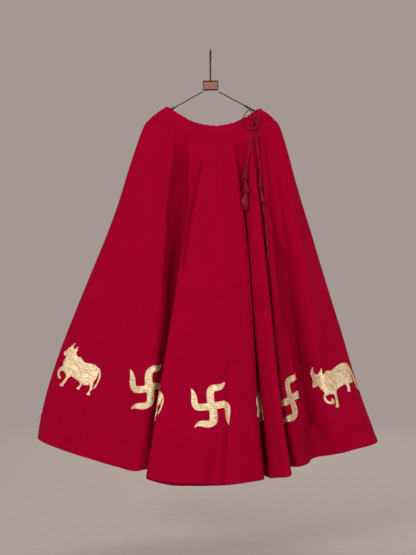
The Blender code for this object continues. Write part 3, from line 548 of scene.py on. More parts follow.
def gold_tissue():
    """Thin metallic tissue, crushed and stuck down under its edge of gold thread; its crumples
    carry painted highlights and painted shade.
    """
    made = Finish("gold_tissue_painted_highlights_cloth", (0.78, 0.60, 0.34), 0.45, 0.36, specular_ior_level=0.5)
    cloth = made.place("UV")
    crush = made.noise(cloth, 110.0, 4, 0.65, 0.6)
    creases = made.noise(made.place("UV", (1, 4.5, 1), (0, 0, 0.55)), 60.0, 4, 0.6, 1.0)
    tone = made.blend(crush, 0.4, creases, 0.6)
    threads = made.bump(made.wave(cloth, 900.0, "X", 0.6), 0.05 * MM, 0.6)
    # The ramp from dark brown to pale gold paints highlights on the crumples' crests and shade
    # in their creases.
    made.shade(base_color=made.colours(tone, (0.32, (0.24, 0.13, 0.06)),
                                       (0.44, (0.62, 0.44, 0.24)), (0.53, (0.82, 0.64, 0.39)),
                                       (0.64, (0.97, 0.88, 0.64))),
               roughness=made.spread(tone, 0.3, 0.7, 0.62, 0.34),
               normal=made.bump(tone, 2.2 * MM, 0.9, Normal=threads))
    return made.material


def gold_thread():
    """Twisted metallic thread."""
    made = Finish("gold_couching_thread", (0.92, 0.74, 0.46), 0.35, 0.7)
    twist = made.wave(made.place(turn=(0.5, 0.7, 0.3)), 500.0, "DIAGONAL", 1.0)
    made.shade(base_color=made.colours(twist, (0.2, (0.70, 0.50, 0.26)),
                                       (0.8, (1.0, 0.86, 0.60))),
               normal=made.bump(twist, 0.2 * MM))
    return made.material


def maroon(name, colour, sheen):
    """The shader of the dusty maroon satin."""
    return Finish(name, colour, 0.42, sheen_weight=sheen, sheen_roughness=0.35,
                  sheen_tint=(1.0, 0.12, 0.20, 1), specular_tint=(1.0, 0.22, 0.28, 1),
                  specular_ior_level=0.4)


def satin():
    """Satin of the tassels, with a streak along the thread."""
    made = maroon("maroon_satin_cloth", (0.16, 0.006, 0.018), 0.08)
    cloud = made.noise(made.place(), 90.0, 4, 0.6)
    streak = made.noise(made.place(scale=(1400, 1400, 90)), 1.0)
    tone = made.blend(cloud, 0.6, streak, 0.4)
    made.shade(base_color=made.colours(tone, (0.30, (0.100, 0.0015, 0.009)),
                                       (0.70, (0.235, 0.006, 0.025))),
               roughness=made.spread(tone, 0.3, 0.7, 0.44, 0.32),
               normal=made.bump(tone, 0.6 * MM))
    return made.material


def cord_satin():
    """The same satin wound tightly round a cord, with slanting turns."""
    made = maroon("maroon_cord", (0.18, 0.008, 0.022), 0.12)
    turns = made.wave(made.place(turn=(0.6, 0.4, 0.2)), 420.0, "DIAGONAL", 0.8)
    made.shade(base_color=made.colours(turns, (0.1, (0.13, 0.004, 0.014)),
                                       (0.9, (0.27, 0.018, 0.040))),
               normal=made.bump(turns, 0.3 * MM))
    return made.material


def black_metal():
    """Lacquered steel with small scuffs."""
    made = Finish("black_lacquered_metal", (0.02, 0.02, 0.023), 0.35, 0.6)
    scuffs = made.noise(made.place(scale=(260, 260, 60)), 1.0, 5, 0.65)
    made.shade(base_color=made.colours(scuffs, (0.35, (0.012, 0.012, 0.014)),
                                       (0.62, (0.030, 0.031, 0.036)),
                                       (0.80, (0.075, 0.078, 0.088))),
               roughness=made.spread(scuffs, 0.3, 0.75, 0.28, 0.52),
               normal=made.bump(scuffs, 0.12 * MM, 0.5))
    return made.material


def brown_wood():
    """Stained wood, its grain along X."""
    made = Finish("stained_wood", (0.30, 0.11, 0.07), 0.5, coat_weight=0.15)
    grain = made.wave(made.place(scale=(14, 40, 130)), 1.0, "Z", 5.0, 3.0)
    pores = made.noise(made.place(scale=(160, 900, 1800)), 1.0, 4, 0.6)
    tone = made.blend(grain, 0.55, pores, 0.45)
    made.shade(base_color=made.colours(tone, (0.25, (0.17, 0.055, 0.034)),
                                       (0.55, (0.32, 0.12, 0.075)), (0.80, (0.40, 0.17, 0.11))),
               roughness=made.spread(tone, 0.2, 0.8, 0.42, 0.60),
               normal=made.bump(tone, 0.3 * MM))
    return made.material


def black_rubber():
    """Dull speckled rubber."""
    made = Finish("black_rubber_sleeve", (0.012, 0.012, 0.012), 0.6)
    speckle = made.noise(made.place(), 900.0, 3, 0.6)
    made.shade(base_color=made.colours(speckle, (0.3, (0.008, 0.008, 0.008)),
                                       (0.7, (0.022, 0.021, 0.020))),
               roughness=made.spread(speckle, 0.3, 0.7, 0.5, 0.75),
               normal=made.bump(speckle, 0.1 * MM))
    return made.material


CRIMSON = silk("crimson_silk_cloth", (0.34, 0.0004, 0.026), (0.28, 0.0003, 0.019))
BAND_SILK = silk("crimson_band_cloth", (0.34, 0.0004, 0.027), (0.28, 0.0003, 0.019), 0.5 * MM)
# The facing's darker crimson is painted shade: the cloth's colour, darkened to stand for the
# hem's shaded inside.
FACING_PAINTED_SHADE_SILK = silk("crimson_facing_painted_shade_cloth", (0.20, 0.0003, 0.014), (0.13, 0.0002, 0.009),
                   0.6 * MM, 0.04, 0.85)
THREAD = silk("crimson_thread", (0.34, 0.0004, 0.026), (0.25, 0.0003, 0.017), 0.4 * MM, 0.1, 0.6)
GOLD = gold_tissue()
GOLD_THREAD = gold_thread()
SATIN = satin()
CORD_SATIN = cord_satin()
METAL = black_metal()
WOOD = brown_wood()
RUBBER = black_rubber()

# ---- building pieces --------------------------------------------------------------------------


def place_on_body(name, data, nodes):
    """A new object on the part's body that stands for the named nodes of the CAD."""
    piece = bpy.data.objects.new(name, data)
    bpy.context.collection.objects.link(piece)
    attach(piece, BODY)
    if nodes:
        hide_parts(*nodes)
    return piece


def add_piece(name, points, faces, finish, slot, uvs=None, sharp_angle=55, nodes=()):
    """A mesh piece on the part's body; uvs holds one pair for each point."""
    mesh = bpy.data.meshes.new(name)
    mesh.from_pydata([tuple(map(float, p)) for p in points], [], faces)
    work = bmesh.new()
    work.from_mesh(mesh)
    bmesh.ops.recalc_face_normals(work, faces=work.faces)
    work.to_mesh(mesh)
    work.free()
    if uvs is not None:
        layer = mesh.uv_layers.new(name="cloth")
        corners = np.empty(len(mesh.loops), int)
        mesh.loops.foreach_get("vertex_index", corners)
        layer.data.foreach_set("uv", np.asarray(uvs, float)[corners].ravel())
    mesh.shade_smooth()
    mesh.set_sharp_from_angle(angle=math.radians(sharp_angle))
    mesh.materials.append(finish)
    return place_on_body(name, mesh, nodes)


def shell(name, node, finish, slot, outer, inner, uv_grid, above=-2):
    """A thin closed shell: outer and inner grids, rows from first to last, joined directly at
    the first row and by a rounded rim at the last, and flat at both sides."""
    rim = round_rim(outer[-1], inner[-1], outer[above])
    loop = [*outer, *rim, *inner[::-1]]
    rows, columns = len(loop), outer.shape[1]
    faces = []
    for row in range(rows):
        after = (row + 1) % rows
        for column in range(columns - 1):
            faces.append((row * columns + column, after * columns + column,
                          after * columns + column + 1, row * columns + column + 1))
    deep = len(outer)
    for column in (0, columns - 1):
        for row in range(deep - 1):
            there = rows - 1 - row
            faces.append((row * columns + column, (row + 1) * columns + column,
                          (there - 1) * columns + column, there * columns + column))
        faces.append([row * columns + column for row in range(deep - 1, rows - deep + 1)])
    uv_rows = [*uv_grid, *[uv_grid[-1]] * len(rim), *uv_grid[::-1]]
    return add_piece(name, np.array(loop).reshape(-1, 3), faces, finish, slot,
                     np.array(uv_rows).reshape(-1, 2), nodes=(node,))


RIM_TURNS = [math.radians(turn) for turn in (36, 72, 108, 144)]


def round_rim(outer_edge, inner_edge, above):
    """Rows that round off a folded edge between the outer and the inner face."""
    middle = (outer_edge + inner_edge) / 2
    half = (outer_edge - inner_edge) / 2
    beyond = units(outer_edge - above) * np.linalg.norm(half, axis=1)[:, None]
    return [middle + half * math.cos(turn) + beyond * math.sin(turn) for turn in RIM_TURNS]


# Steps between the skirt's rows of points, in mm: close together at the seam and the stitches.
SEAM_ZONE, SEAM_STEP = 0.035, 2.6
STITCH_ZONE, STITCH_STEP = 0.012, 1.6
HEM_ZONE, HEM_STEP = 0.86, 4.2
UPPER_STEP, LOWER_STEP, STEP_GROWS = 3.5, 10.0, 0.25
COLUMN_STEP = 5.6 * MM


def level_rows():
    """Heights of the skirt's rows of points, as shares of its length."""
    rows = [0.0]
    while rows[-1] < 1:
        here = rows[-1]
        if here < SEAM_ZONE:
            step = SEAM_STEP
        elif abs(here - STITCH_DOWN) < STITCH_ZONE:
            step = STITCH_STEP
        elif here > HEM_ZONE:
            step = HEM_STEP
        else:
            step = UPPER_STEP + (LOWER_STEP - UPPER_STEP) * ease((here - SEAM_ZONE) / STEP_GROWS)
        rows.append(here + float(step) * MM / SKIRT_LENGTH)
    rows[-1] = 1.0
    return np.array(rows)


def skirt_grid(first, last, downs):
    """Shares, downs and UV pairs of a panel's points, drawn in by half the seam's gap."""
    count = round((last - first) * HEM_LENGTH / COLUMN_STEP)
    shares = np.linspace(first, last, count + 1)
    shares[0] += SEAM_GAP / 2 / WAIST_LENGTH
    shares[-1] -= SEAM_GAP / 2 / WAIST_LENGTH
    share, down = np.meshgrid(shares, downs)
    return share, down, np.stack([share * HEM_LENGTH, down * SKIRT_LENGTH], axis=-1)


# The panels, each from its own seam to the next one's.
DOWNS = level_rows()
PANEL_NAMES = ("right_front", "right_back", "back", "left", "front")
PANEL_EDGES = [SEAMS[name] for name in PANEL_NAMES] + [SIDE_OPENING + 1]
PANELS = list(zip(PANEL_NAMES, PANEL_EDGES, PANEL_EDGES[1:]))
for name, first, last in PANELS:
    share, down, uv_grid = skirt_grid(first, last, DOWNS)
    outer = skirt_surface(share, down)
    inner = skirt_surface(share, down, -CLOTH_WALL)
    shell("cloth_" + name, "skirt_" + name, CRIMSON, "crimson_silk", outer, inner,
                         uv_grid)

# Facings inside the hem, in a darker silk whose darkness is painted shade of the hem's inside.
# The front one shows a little below it.
FACINGS = (("back", SIDE_OPENING, SEAMS["left"]), ("front", SEAMS["left"], SIDE_OPENING + 1))
shown_at = share_at(FOLD_A_ROWS) + FACING_SHOWS["after"]
for name, first, last in FACINGS:
    share, down, uv_grid = skirt_grid(first, last, DOWNS[DOWNS >= FACING_STARTS - 0.001])
    lift = -CLOTH_WALL - FACING_GAP
    outer = skirt_surface(share, down, lift)
    inner = skirt_surface(share, down, lift - FACING_WALL)
    drop = FACING_DROP * hill(apart(share[0], shown_at), FACING_SHOWS["spread"])
    drop = units(outer[-1] - outer[-3]) * drop[:, None]
    for rows in (outer, inner):
        rows[-1] += drop
        rows[-2] += drop / 2
    shell("facing_" + name, "hem_facing_" + name, FACING_PAINTED_SHADE_SILK, "crimson_facing",
                          outer, inner, uv_grid)

# Waistband: a casing with a rounded top edge, open at the slit over the side opening. Its rows
# run from the waist seam up, so that the shell's rim is the fold at its top.
slit = SLIT_WIDTH / 2 / WAIST_LENGTH
band_shares = np.linspace(BAND_OPENING + slit, BAND_OPENING + 1 - slit, 520)
ups = np.concatenate([np.linspace(0.0, 0.11, 6), np.linspace(0.14, 0.74, 12),
                      np.linspace(0.78, 0.90, 8), [0.93, 0.96, 0.985, 1.0]])
share, up = np.meshgrid(band_shares, ups)
outer = band_surface(share, up, BAND_LIFT)
inner = band_surface(share, up, BAND_LIFT - BAND_WALL)
outer[:2, :, 2] -= np.array(BAND_FOOT)[:, None]
uv_grid = np.stack([share * BAND_LENGTH, up * BAND_HEIGHT], axis=-1)
band = shell("band", "waistband", BAND_SILK, "crimson_silk", outer, inner, uv_grid, above=-3)

# ---- lines, tubes and rows --------------------------------------------------------------------


def even_line(line, spacing, closed=False):
    """Points at even spacing along a line."""
    line = np.asarray(line, float)
    if closed:
        line = np.vstack([line, line[:1]])
    run = np.concatenate([[0], np.cumsum(np.linalg.norm(np.diff(line, axis=0), axis=1))])
    count = max(2, round(run[-1] / spacing))
    stops = np.linspace(0, run[-1], count if closed else count + 1, endpoint=not closed)
    return np.stack([np.interp(stops, run, column) for column in line.T], axis=1)


def curve(before, here, there, after, stops):
    """Points of a smooth curve from here to there, one for each stop from 0 to 1."""
    return [0.5 * (2 * here + (there - before) * t
                   + (2 * before - 5 * here + 4 * there - after) * t**2
                   + (3 * here - before - 3 * there + after) * t**3) for t in stops]


def closed_line(points, per_span=3):
    """A smooth closed line through the points."""
    ring = [Vector(point) for point in points]
    stops = [step / per_span for step in range(per_span)]
    line = []
    for k, here in enumerate(ring):
        line += curve(ring[k - 1], here, ring[(k + 1) % len(ring)], ring[(k + 2) % len(ring)],
                      stops)
    return line


def open_line(points, steps):
    """A smooth open line through the points, of any number of columns."""
    line = np.asarray(points, float)
    reach = np.vstack([2 * line[0] - line[1], line, 2 * line[-1] - line[-2]])
    dense = [line[0]]
    for span in zip(reach, reach[1:], reach[2:], reach[3:]):
        dense += curve(*span, np.linspace(0, 1, steps + 1)[1:])
    return np.array(dense)


def ring_faces(rows, columns, closed=False, start=0):
    """Faces between rings of points; closed also joins the last ring to the first."""
    faces = []
    for row in range(rows if closed else rows - 1):
        here, after = start + row * columns, start + (row + 1) % rows * columns
        for k in range(columns):
            beside = (k + 1) % columns
            faces.append((here + k, here + beside, after + beside, after + k))
    return faces


DOME = [(math.sin(math.radians(turn)), math.cos(math.radians(turn))) for turn in (30, 58, 80)]


def tube(path, radius, sides=8, closed=False, out=None):
    """Points and faces of a round bar along the path, closed on itself or with domed ends."""
    path = np.asarray(path, float)
    if closed:
        ahead = units(np.roll(path, -1, axis=0) - np.roll(path, 1, axis=0))
    else:
        ahead = units(np.gradient(path, axis=0))
    if out is None:
        turned = [units(np.cross(ahead[0], (0, 1, 0) if abs(ahead[0][1]) < 0.9 else (1, 0, 0)))]
        for direction in ahead[1:]:
            turned.append(units(turned[-1] - direction * np.dot(turned[-1], direction)))
        out = np.array(turned)
    out = units(out - ahead * np.sum(out * ahead, axis=1)[:, None])
    rows = [(path[k], ahead[k], out[k], radius) for k in range(len(path))]
    if not closed:
        first, last = rows[0], rows[-1]
        rows = [(first[0] - first[1] * radius * far, first[1], first[2], radius * near)
                for far, near in reversed(DOME)] + rows
        rows += [(last[0] + last[1] * radius * far, last[1], last[2], radius * near)
                 for far, near in DOME]
    points = []
    for centre, direction, up, reach in rows:
        side = np.cross(direction, up)
        for k in range(sides):
            angle = 2 * math.pi * k / sides
            points.append(centre + (up * math.cos(angle) + side * math.sin(angle)) * reach)
    faces = ring_faces(len(rows), sides, closed)
    if not closed:
        faces += [tuple(range(sides)), tuple(range(len(points) - sides, len(points)))]
    return points, faces


def joined(parts):
    """One list of points and faces out of several."""
    points, faces = [], []
    for some_points, some_faces in parts:
        start = len(points)
        points += list(some_points)
        faces += [tuple(k + start for k in face) for face in some_faces]
    return points, faces


# ---- motifs of gold tissue, thinner than a wall of the CAD ------------------------------------

# Outlines in mm from the motif's middle, across and up the cloth: a zebu cow that lifts a
# foreleg, with its head raised or level.
COW_RAISED = (
    (-59, 39), (-57, 45), (-51, 49), (-47, 56), (-42, 62), (-38, 68), (-31, 75), (-34, 66),
    (-33, 59), (-28, 57), (-25, 62), (-21, 66), (-20, 57), (-21, 48), (-17, 42), (-11, 38),
    (-6, 40), (0, 36), (6, 31), (15, 28), (28, 30), (41, 29), (52, 25), (60, 18), (64, 8),
    (65, -4), (63, -17), (60, -28), (55, -38), (57, -27), (60, -16), (61, -4), (60, 6),
    (56, 14), (57, 4), (55, -6), (50, -16), (51, -25), (52, -34), (50, -42), (48, -49),
    (50, -56), (41, -57), (42, -52), (45, -46), (46, -38), (43, -30), (39, -27), (35, -33),
    (31, -30), (27, -34), (23, -30), (20, -36), (17, -43), (17, -49), (8, -49), (9, -45),
    (13, -41), (15, -33), (9, -27), (0, -24), (-9, -21), (-17, -19), (-22, -24), (-26, -32),
    (-29, -40), (-32, -47), (-33, -54), (-43, -53), (-42, -48), (-37, -43), (-34, -35),
    (-31, -27), (-31, -20), (-36, -14), (-43, -10), (-50, -11), (-55, -17), (-53, -24),
    (-48, -29), (-46, -34), (-51, -35), (-57, -29), (-61, -21), (-61, -11), (-57, -3),
    (-50, 1), (-49, 8), (-51, 14), (-50, 20), (-47, 27), (-50, 33), (-55, 34),
)
COW_LEVEL = (
    (-62, -6), (-63, 1), (-59, 10), (-59, 19), (-61, 28), (-61, 38), (-57, 47), (-53, 51),
    (-54, 42), (-52, 34), (-48, 29), (-41, 29), (-37, 34), (-32, 44), (-32, 34), (-29, 26),
    (-25, 27), (-22, 34),
    (-14, 36), (-4, 36), (6, 42), (17, 50), (29, 56), (41, 58), (49, 55), (57, 44), (64, 29),
    (70, 11), (75, -7), (79, -21), (73, -15), (67, 0), (61, 15), (54, 31), (47, 43), (50, 32),
    (54, 18), (57, 4), (52, 0), (47, 1), (43, -6), (45, -16), (44, -26), (37, -26), (38, -18),
    (36, -9), (31, -5), (21, -10), (10, -17), (4, -22), (4, -34), (5, -48), (6, -59),
    (5, -69), (-3, -68), (-1, -59), (-1, -47), (-2, -34), (-10, -31), (-19, -32), (-27, -35),
    (-28, -42), (-24, -49), (-17, -53), (-12, -51), (-12, -44), (-7, -46), (-6, -57),
    (-15, -60), (-25, -56), (-33, -48), (-35, -38), (-29, -28), (-34, -20), (-40, -13),
    (-44, -5), (-48, -2),
    (-54, -6),
)
# Middle lines of the swastika's four arms, counterclockwise, with the share of the stroke's
# half width that they keep.
SWASTIKA_STROKE = 9.0
SWASTIKA_ARMS = (
    ((0, 0, 1.0), (-3, 18, 1.0), (-4, 36, 1.0), (-1, 47, 1.0), (8, 52, 0.97), (19, 54, 0.85),
     (29, 62, 0.45), (34, 69, 0.06)),
    ((0, 0, 1.0), (-20, -3, 1.0), (-37, -4, 1.0), (-46, 1, 1.0), (-50, 12, 1.0),
     (-51, 24, 0.92), (-55, 38, 0.50), (-61, 49, 0.06)),
    ((0, 0, 1.0), (4, -16, 1.0), (5, -32, 1.0), (3, -43, 1.0), (-6, -49, 1.0), (-20, -49, 0.95),
     (-35, -50, 0.62), (-49, -59, 0.06)),
    ((0, 0, 1.0), (16, 4, 1.0), (30, 7, 1.0), (40, 3, 0.95), (44, -8, 0.85), (44, -24, 0.72),
     (45, -38, 0.42), (47, -50, 0.06)),
)
MOTIF_LIFT = 0.8 * MM            # of the tissue over the cloth
MOTIF_EDGE_LIFT = 0.35 * MM
MOTIF_EDGE = 3.0                 # mm from the edge in which the tissue rises
MOTIF_GRID = 4.2                 # mm between the points that fill a motif
GRID_ROW = 0.87                  # of that, between its rows
GRID_CLEAR = 0.55                # of that, kept free along the outline
ALL_TRIANGLES = 0                # what the triangulation gives back
LEAST_DISTANCE = 1e-5            # mm between its points
# Rumples of the tissue: height, turns in each mm across and up, turns with the share.
RUMPLES = ((0.35, 0.31, 0.50, 54), (0.30, 0.55, -0.33, 40), (0.25, 0.12, 0.83, 17))
RUMPLE_HEIGHT = 0.45 * MM
BEAD_RADIUS = 0.65 * MM
BEAD_LIFT = 0.55 * MM
BEAD_STEP = 2.4                  # mm along the outline
MOTIF_BACK = -0.2 * MM           # the tissue's back lies just inside the cloth's face
# The motifs round the cloth: kind, share, down, turn in degrees, width against the drawing's.
MOTIFS = (
    ("cow_raised", 0.0313, 0.766, 0, 1), ("swastika", 0.1066, 0.769, 2, 1),
    ("cow_raised", 0.1870, 0.785, 0, 1), ("swastika", 0.2572, 0.786, 0, 1),
    ("cow_level", 0.3260, 0.816, 0, 1), ("swastika", 0.4300, 0.815, 3, 1.3),
    ("cow_level", 0.5010, 0.800, -7, 1.25), ("swastika", 0.5660, 0.772, -2, 1),
    ("cow_raised", 0.6290, 0.768, 0, 1), ("swastika", 0.6930, 0.776, 1, 1),
    ("cow_level", 0.7610, 0.770, 0, 1), ("swastika", 0.8290, 0.780, -1, 1),
    ("cow_raised", 0.8970, 0.770, 0, 1), ("swastika", 0.9650, 0.766, 2, 1),
)


def stroke_outline(arms, half):
    """Outline of strokes that cross at the middle, gone round counterclockwise."""
    lines = [open_line(arm, 5) for arm in arms]
    outline = []
    for line in lines:
        run = np.gradient(line[:, :2], axis=0)
        run /= np.linalg.norm(run, axis=1)[:, None]
        right = np.stack([run[:, 1], -run[:, 0]], axis=1) * (line[:, 2:] * half)
        sides = list(line[:, :2] + right) + list((line[:, :2] - right)[::-1])
        others = np.vstack([other for other in lines if other is not line])
        for spot in sides:
            if (np.linalg.norm(others[:, :2] - spot, axis=1) > half * others[:, 2]).all():
                outline.append(Vector(spot))
    return outline


def motif_outline(kind):
    """The closed outline of one kind of motif, in mm."""
    if kind == "swastika":
        return stroke_outline(SWASTIKA_ARMS, SWASTIKA_STROKE)
    return closed_line(COW_RAISED if kind == "cow_raised" else COW_LEVEL)


def inside(point, outline):
    """True where the point lies within the closed outline."""
    crossed = [a.x + (point.y - a.y) * (b.x - a.x) / (b.y - a.y)
               for a, b in zip(outline, outline[1:] + outline[:1])
               if (a.y > point.y) != (b.y > point.y)]
    return sum(point.x < x for x in crossed) % 2 == 1


def filled(outline):
    """Points and triangles of the flat shape; the outline's points come first."""
    points = list(outline)
    edges = [(k, (k + 1) % len(outline)) for k in range(len(outline))]
    low = Vector((min(p.x for p in outline), min(p.y for p in outline)))
    high = Vector((max(p.x for p in outline), max(p.y for p in outline)))
    row_step = MOTIF_GRID * GRID_ROW
    for row, y in enumerate(np.arange(low.y + MOTIF_GRID / 2, high.y, row_step)):
        for x in np.arange(low.x + MOTIF_GRID / (row % 2 + 1), high.x, MOTIF_GRID):
            spot = Vector((x, y))
            clear = min((spot - p).length for p in outline) > GRID_CLEAR * MOTIF_GRID
            if clear and inside(spot, outline):
                points.append(spot)
    made = geometry.delaunay_2d_cdt(points, edges, [], ALL_TRIANGLES, LEAST_DISTANCE)
    corners = [Vector(p) for p in made[0]]
    triangles = []
    for face in made[2]:
        middle = sum((corners[k] for k in face), Vector((0, 0))) / len(face)
        if inside(middle, outline):
            triangles.append(tuple(face))
    return corners, triangles


# The flat cut is a sector of a ring: metres round it for each metre of its radius.
CLOTH_TURN = (HEM_LENGTH - WAIST_LENGTH) / SKIRT_LENGTH


def on_cloth(flat, share, down, turn):
    """Share and down of points of the flat cloth; flat is in mm from the motif's middle."""
    angle = math.radians(turn)
    across = (flat[:, 0] * math.cos(angle) - flat[:, 1] * math.sin(angle)) * MM
    up = (flat[:, 0] * math.sin(angle) + flat[:, 1] * math.cos(angle)) * MM
    radius = round_at(down) / CLOTH_TURN
    far = np.hypot(across, radius - up)
    return (share + np.arctan2(across, radius - up) / CLOTH_TURN,
            down + (far - radius) / SKIRT_LENGTH)


def add_motif(name, shape, share, down, turn, wide):
    """A motif that lies on the cloth, with a bead of gold thread round its edge."""
    outline, corners, triangles = shape
    count, rim = len(corners), len(outline)
    flat = np.array([corner[:] for corner in corners]) * (wide, 1)
    line = np.array([point[:] for point in outline]) * (wide, 1)
    edge = np.array([min(np.hypot(*(line - point).T)) for point in flat])
    shares, downs = on_cloth(flat, share, down, turn)
    rumple = sum(high * np.sin(flat @ (across, up) + turns * share)
                 for high, across, up, turns in RUMPLES)
    full = ease(edge / MOTIF_EDGE)
    lift = MOTIF_EDGE_LIFT + (MOTIF_LIFT - MOTIF_EDGE_LIFT + RUMPLE_HEIGHT * rumple) * full
    top = skirt_surface(shares, downs, lift)
    under = skirt_surface(shares, downs, MOTIF_BACK)
    faces = triangles + [tuple(k + count for k in reversed(t)) for t in triangles]
    faces += [(k, k + count, (k + 1) % rim + count, (k + 1) % rim) for k in range(rim)]
    sheet = add_piece(name, [*top, *under], faces, GOLD, "gold_tissue", list(flat * MM) * 2, 70)

    places = on_cloth(even_line(line, BEAD_STEP, closed=True), share, down, turn)
    bead = tube(skirt_surface(*places, BEAD_LIFT), BEAD_RADIUS, 6, closed=True,
                out=skirt_outward(*places))
    return [sheet, add_piece(name + "_edge", *bead, GOLD_THREAD, "gold_tissue")]


motifs = []
shapes = {}
counts = {}
for kind, share, down, turn, wide in MOTIFS:
    if kind not in shapes:
        outline = motif_outline(kind)
        shapes[kind] = (outline, *filled(outline))
    counts[kind] = counts.get(kind, 0) + 1
    motif = add_motif(f"motif_{kind}_{counts[kind]}", shapes[kind], share, down, turn, wide)
    motifs.append((share, motif))

# Places along a stitch, of its length: how deep it dips there, in radii, and how thick it is.
STITCH_FORM = ((-0.5, 1.3, 0.5), (-0.3, 0.1, 0.95), (0.0, 0.0, 1.0), (0.3, 0.1, 0.95),
               (0.5, 1.3, 0.5))
STITCH_SIDES = 4
STITCH_RADIUS = 0.32 * MM
STITCH_LIFT = 0.25 * MM


def stitch(middle, ahead, out, length):
    """One stitch of thread, thinner where it dips into the cloth."""
    side = np.cross(ahead, out)
    points = []
    for far, deep, thick in STITCH_FORM:
        spot = middle + ahead * length * far - out * STITCH_RADIUS * deep
        for k in range(STITCH_SIDES):
            angle = math.tau * (k + 0.5) / STITCH_SIDES
            points.append(spot + (out * math.cos(angle) + side * math.sin(angle))
                          * STITCH_RADIUS * thick)
    ends = [tuple(range(STITCH_SIDES)), tuple(range(len(points) - STITCH_SIDES, len(points)))]
    return points, ring_faces(len(STITCH_FORM), STITCH_SIDES) + ends


def add_stitches(name, surface, first, last, metres, height, spacing, length):
    """A row of stitches round the cloth, from one share to another, at one height."""
    count = round((last - first) * metres / spacing)
    shares = first + (np.arange(count) + 0.5) / count * (last - first)
    heights = np.full(count, float(height))
    middle = surface(shares, heights, STITCH_LIFT)
    share_step, height_step = STITCH_STEPS
    ahead = units(surface(shares + share_step, heights) - surface(shares - share_step, heights))
    above = surface(shares, heights - height_step) - surface(shares, heights + height_step)
    out = units(np.cross(ahead, above))
    front = surface(shares, heights, 1 * MM) - middle
    out *= np.sign(np.sum(out * front, axis=1))[:, None]
    rows = [stitch(*frame_of, length) for frame_of in zip(middle, ahead, out)]
    return add_piece(name, *joined(rows), THREAD, "crimson_silk", sharp_angle=80)


hem_stitches = {name: add_stitches("hem_stitches_cloth_" + name, skirt_surface, first, last,
                                   HEM_LENGTH, STITCH_DOWN, 3.8 * MM, 2.6 * MM)
                for name, first, last in PANELS}
band_stitches = [add_stitches("band_stitches_" + line, band_surface, BAND_OPENING + 2 * slit,
                              BAND_OPENING + 1 - 2 * slit, BAND_LENGTH, row[0], 3.2 * MM,
                              2.2 * MM)
                 for line, row in BAND_STITCHES.items()]

# ---- drawstring and tassels -------------------------------------------------------------------

# The route of each length of cord, (x, y, z) in mm, and the tiers of its tassels.
CORD = 3 * MM
# The knot over the crossing: the cord's wraps round a core, all in mm.
KNOT = dict(place=(128, -24.4, -198), radii=(5, 3.5, 6), core=2.2, strand=1.35, turns=2.5,
            steps=45, fill=0.62, slant=0.25)
LOOP_ROUTE = (
    (124.4, -24.4, -193.2), (119, -24, -186), (111, -23.5, -181.5), (104, -23.5, -186),
    (98, -24.5, -196), (92.8, -26, -208), (94.5, -27, -218), (99.4, -28, -226),
    (107, -29, -233.5), (117, -30.5, -237), (128.5, -30, -232.5), (136, -28.5, -223.5),
    (139.2, -27, -211), (138, -25.8, -199.5), (133.6, -24.6, -192.8),
)
LEFT_TAIL_ROUTE = (
    (125.2, -24.4, -203.7), (122.6, -24.3, -211), (121.7, -25, -227), (122.8, -25.5, -242),
    (118.8, -27, -256), (116.9, -30, -268), (115, -33.5, -281), (112.9, -36, -294),
    (109.5, -38.5, -312), (106.3, -40.8, -331.2),
)
RIGHT_TAIL_ROUTE = (
    (130.9, -24.4, -203.6), (134.5, -23.8, -213), (138.3, -23.6, -225), (140.8, -23.8, -237),
    (141.3, -24.3, -248), (138.5, -25.5, -259), (135.4, -27, -270), (135.8, -29.5, -284),
    (137.5, -31.5, -300), (141, -33.5, -328), (144.4, -35.4, -351.2),
)
HITCH_ROUTE = (
    (120.2, -28.9, -266.4), (123, -28.8, -269), (127, -28.3, -270.2), (130.5, -27.6, -269.4),
    (133.6, -26.8, -266.8),
)
# Tiers of the tassels: top and foot of each one's axis, the radii of its neck and mouth or its
# widest one, flat: its depth against its width, bow: how far it swings out halfway down.
LEFT_TASSEL = (
    dict(name="upper_bell", top=(106.1, -41, -331.5), foot=(97.5, -47.5, -389.5), neck=2.6,
         mouth=7.6, flat=0.9),
    dict(name="lower_bell", top=(98.6, -48.4, -384), foot=(103, -56.5, -428), neck=3,
         mouth=9, flat=0.9),
)
LEFT_PETALS = (dict(name="petal", top=(103.2, -57.2, -421), foot=(101.5, -59, -477), widest=9,
                    flat=0.5, bow=4.5),)
RIGHT_TASSEL = (
    dict(name="upper_bell", top=(144.7, -35.6, -351.5), foot=(142.9, -46, -415.8), neck=2.6,
         mouth=6, flat=0.9),
    dict(name="lower_bell", top=(143.5, -46.4, -410.5), foot=(151, -51.5, -457), neck=2.4,
         mouth=7, flat=0.9),
)
RIGHT_PETALS = (
    dict(name="petal_1", top=(150.1, -50.9, -450.2), foot=(156.5, -56, -500.5),
         widest=2.6, flat=0.9),
    dict(name="petal_2", top=(156.6, -56.2, -500.9), foot=(159.5, -63, -550.5),
         widest=2.8, flat=0.9),
    dict(name="petal_3", top=(159.6, -63.1, -550.9), foot=(162, -68, -586),
         widest=3.2, flat=0.85),
    dict(name="petal_4", top=(162.1, -68.1, -586.4), foot=(164.3, -73, -623),
         widest=2.6, flat=0.85),
)
# Where each tail runs on inside its tassel, from bell to bell.
LEFT_INSIDE = ((101.8, -44.2, -360), (98.9, -47.6, -386), (100.6, -52.4, -406),
               (103, -57, -424))
RIGHT_INSIDE = ((143.6, -40.5, -383), (143.6, -46.2, -412), (147.3, -49, -434),
                (150.6, -51.3, -454), (153.6, -53.8, -478), (156.6, -56.2, -501),
                (158.2, -59.7, -526), (159.6, -63.1, -551), (160.9, -65.6, -569),
                (162.1, -68.1, -587))


def smooth_route(points, spacing=2.5 * MM):
    """A smooth line in metres through points in mm."""
    return even_line(open_line(np.array(points) * MM, 12), spacing)


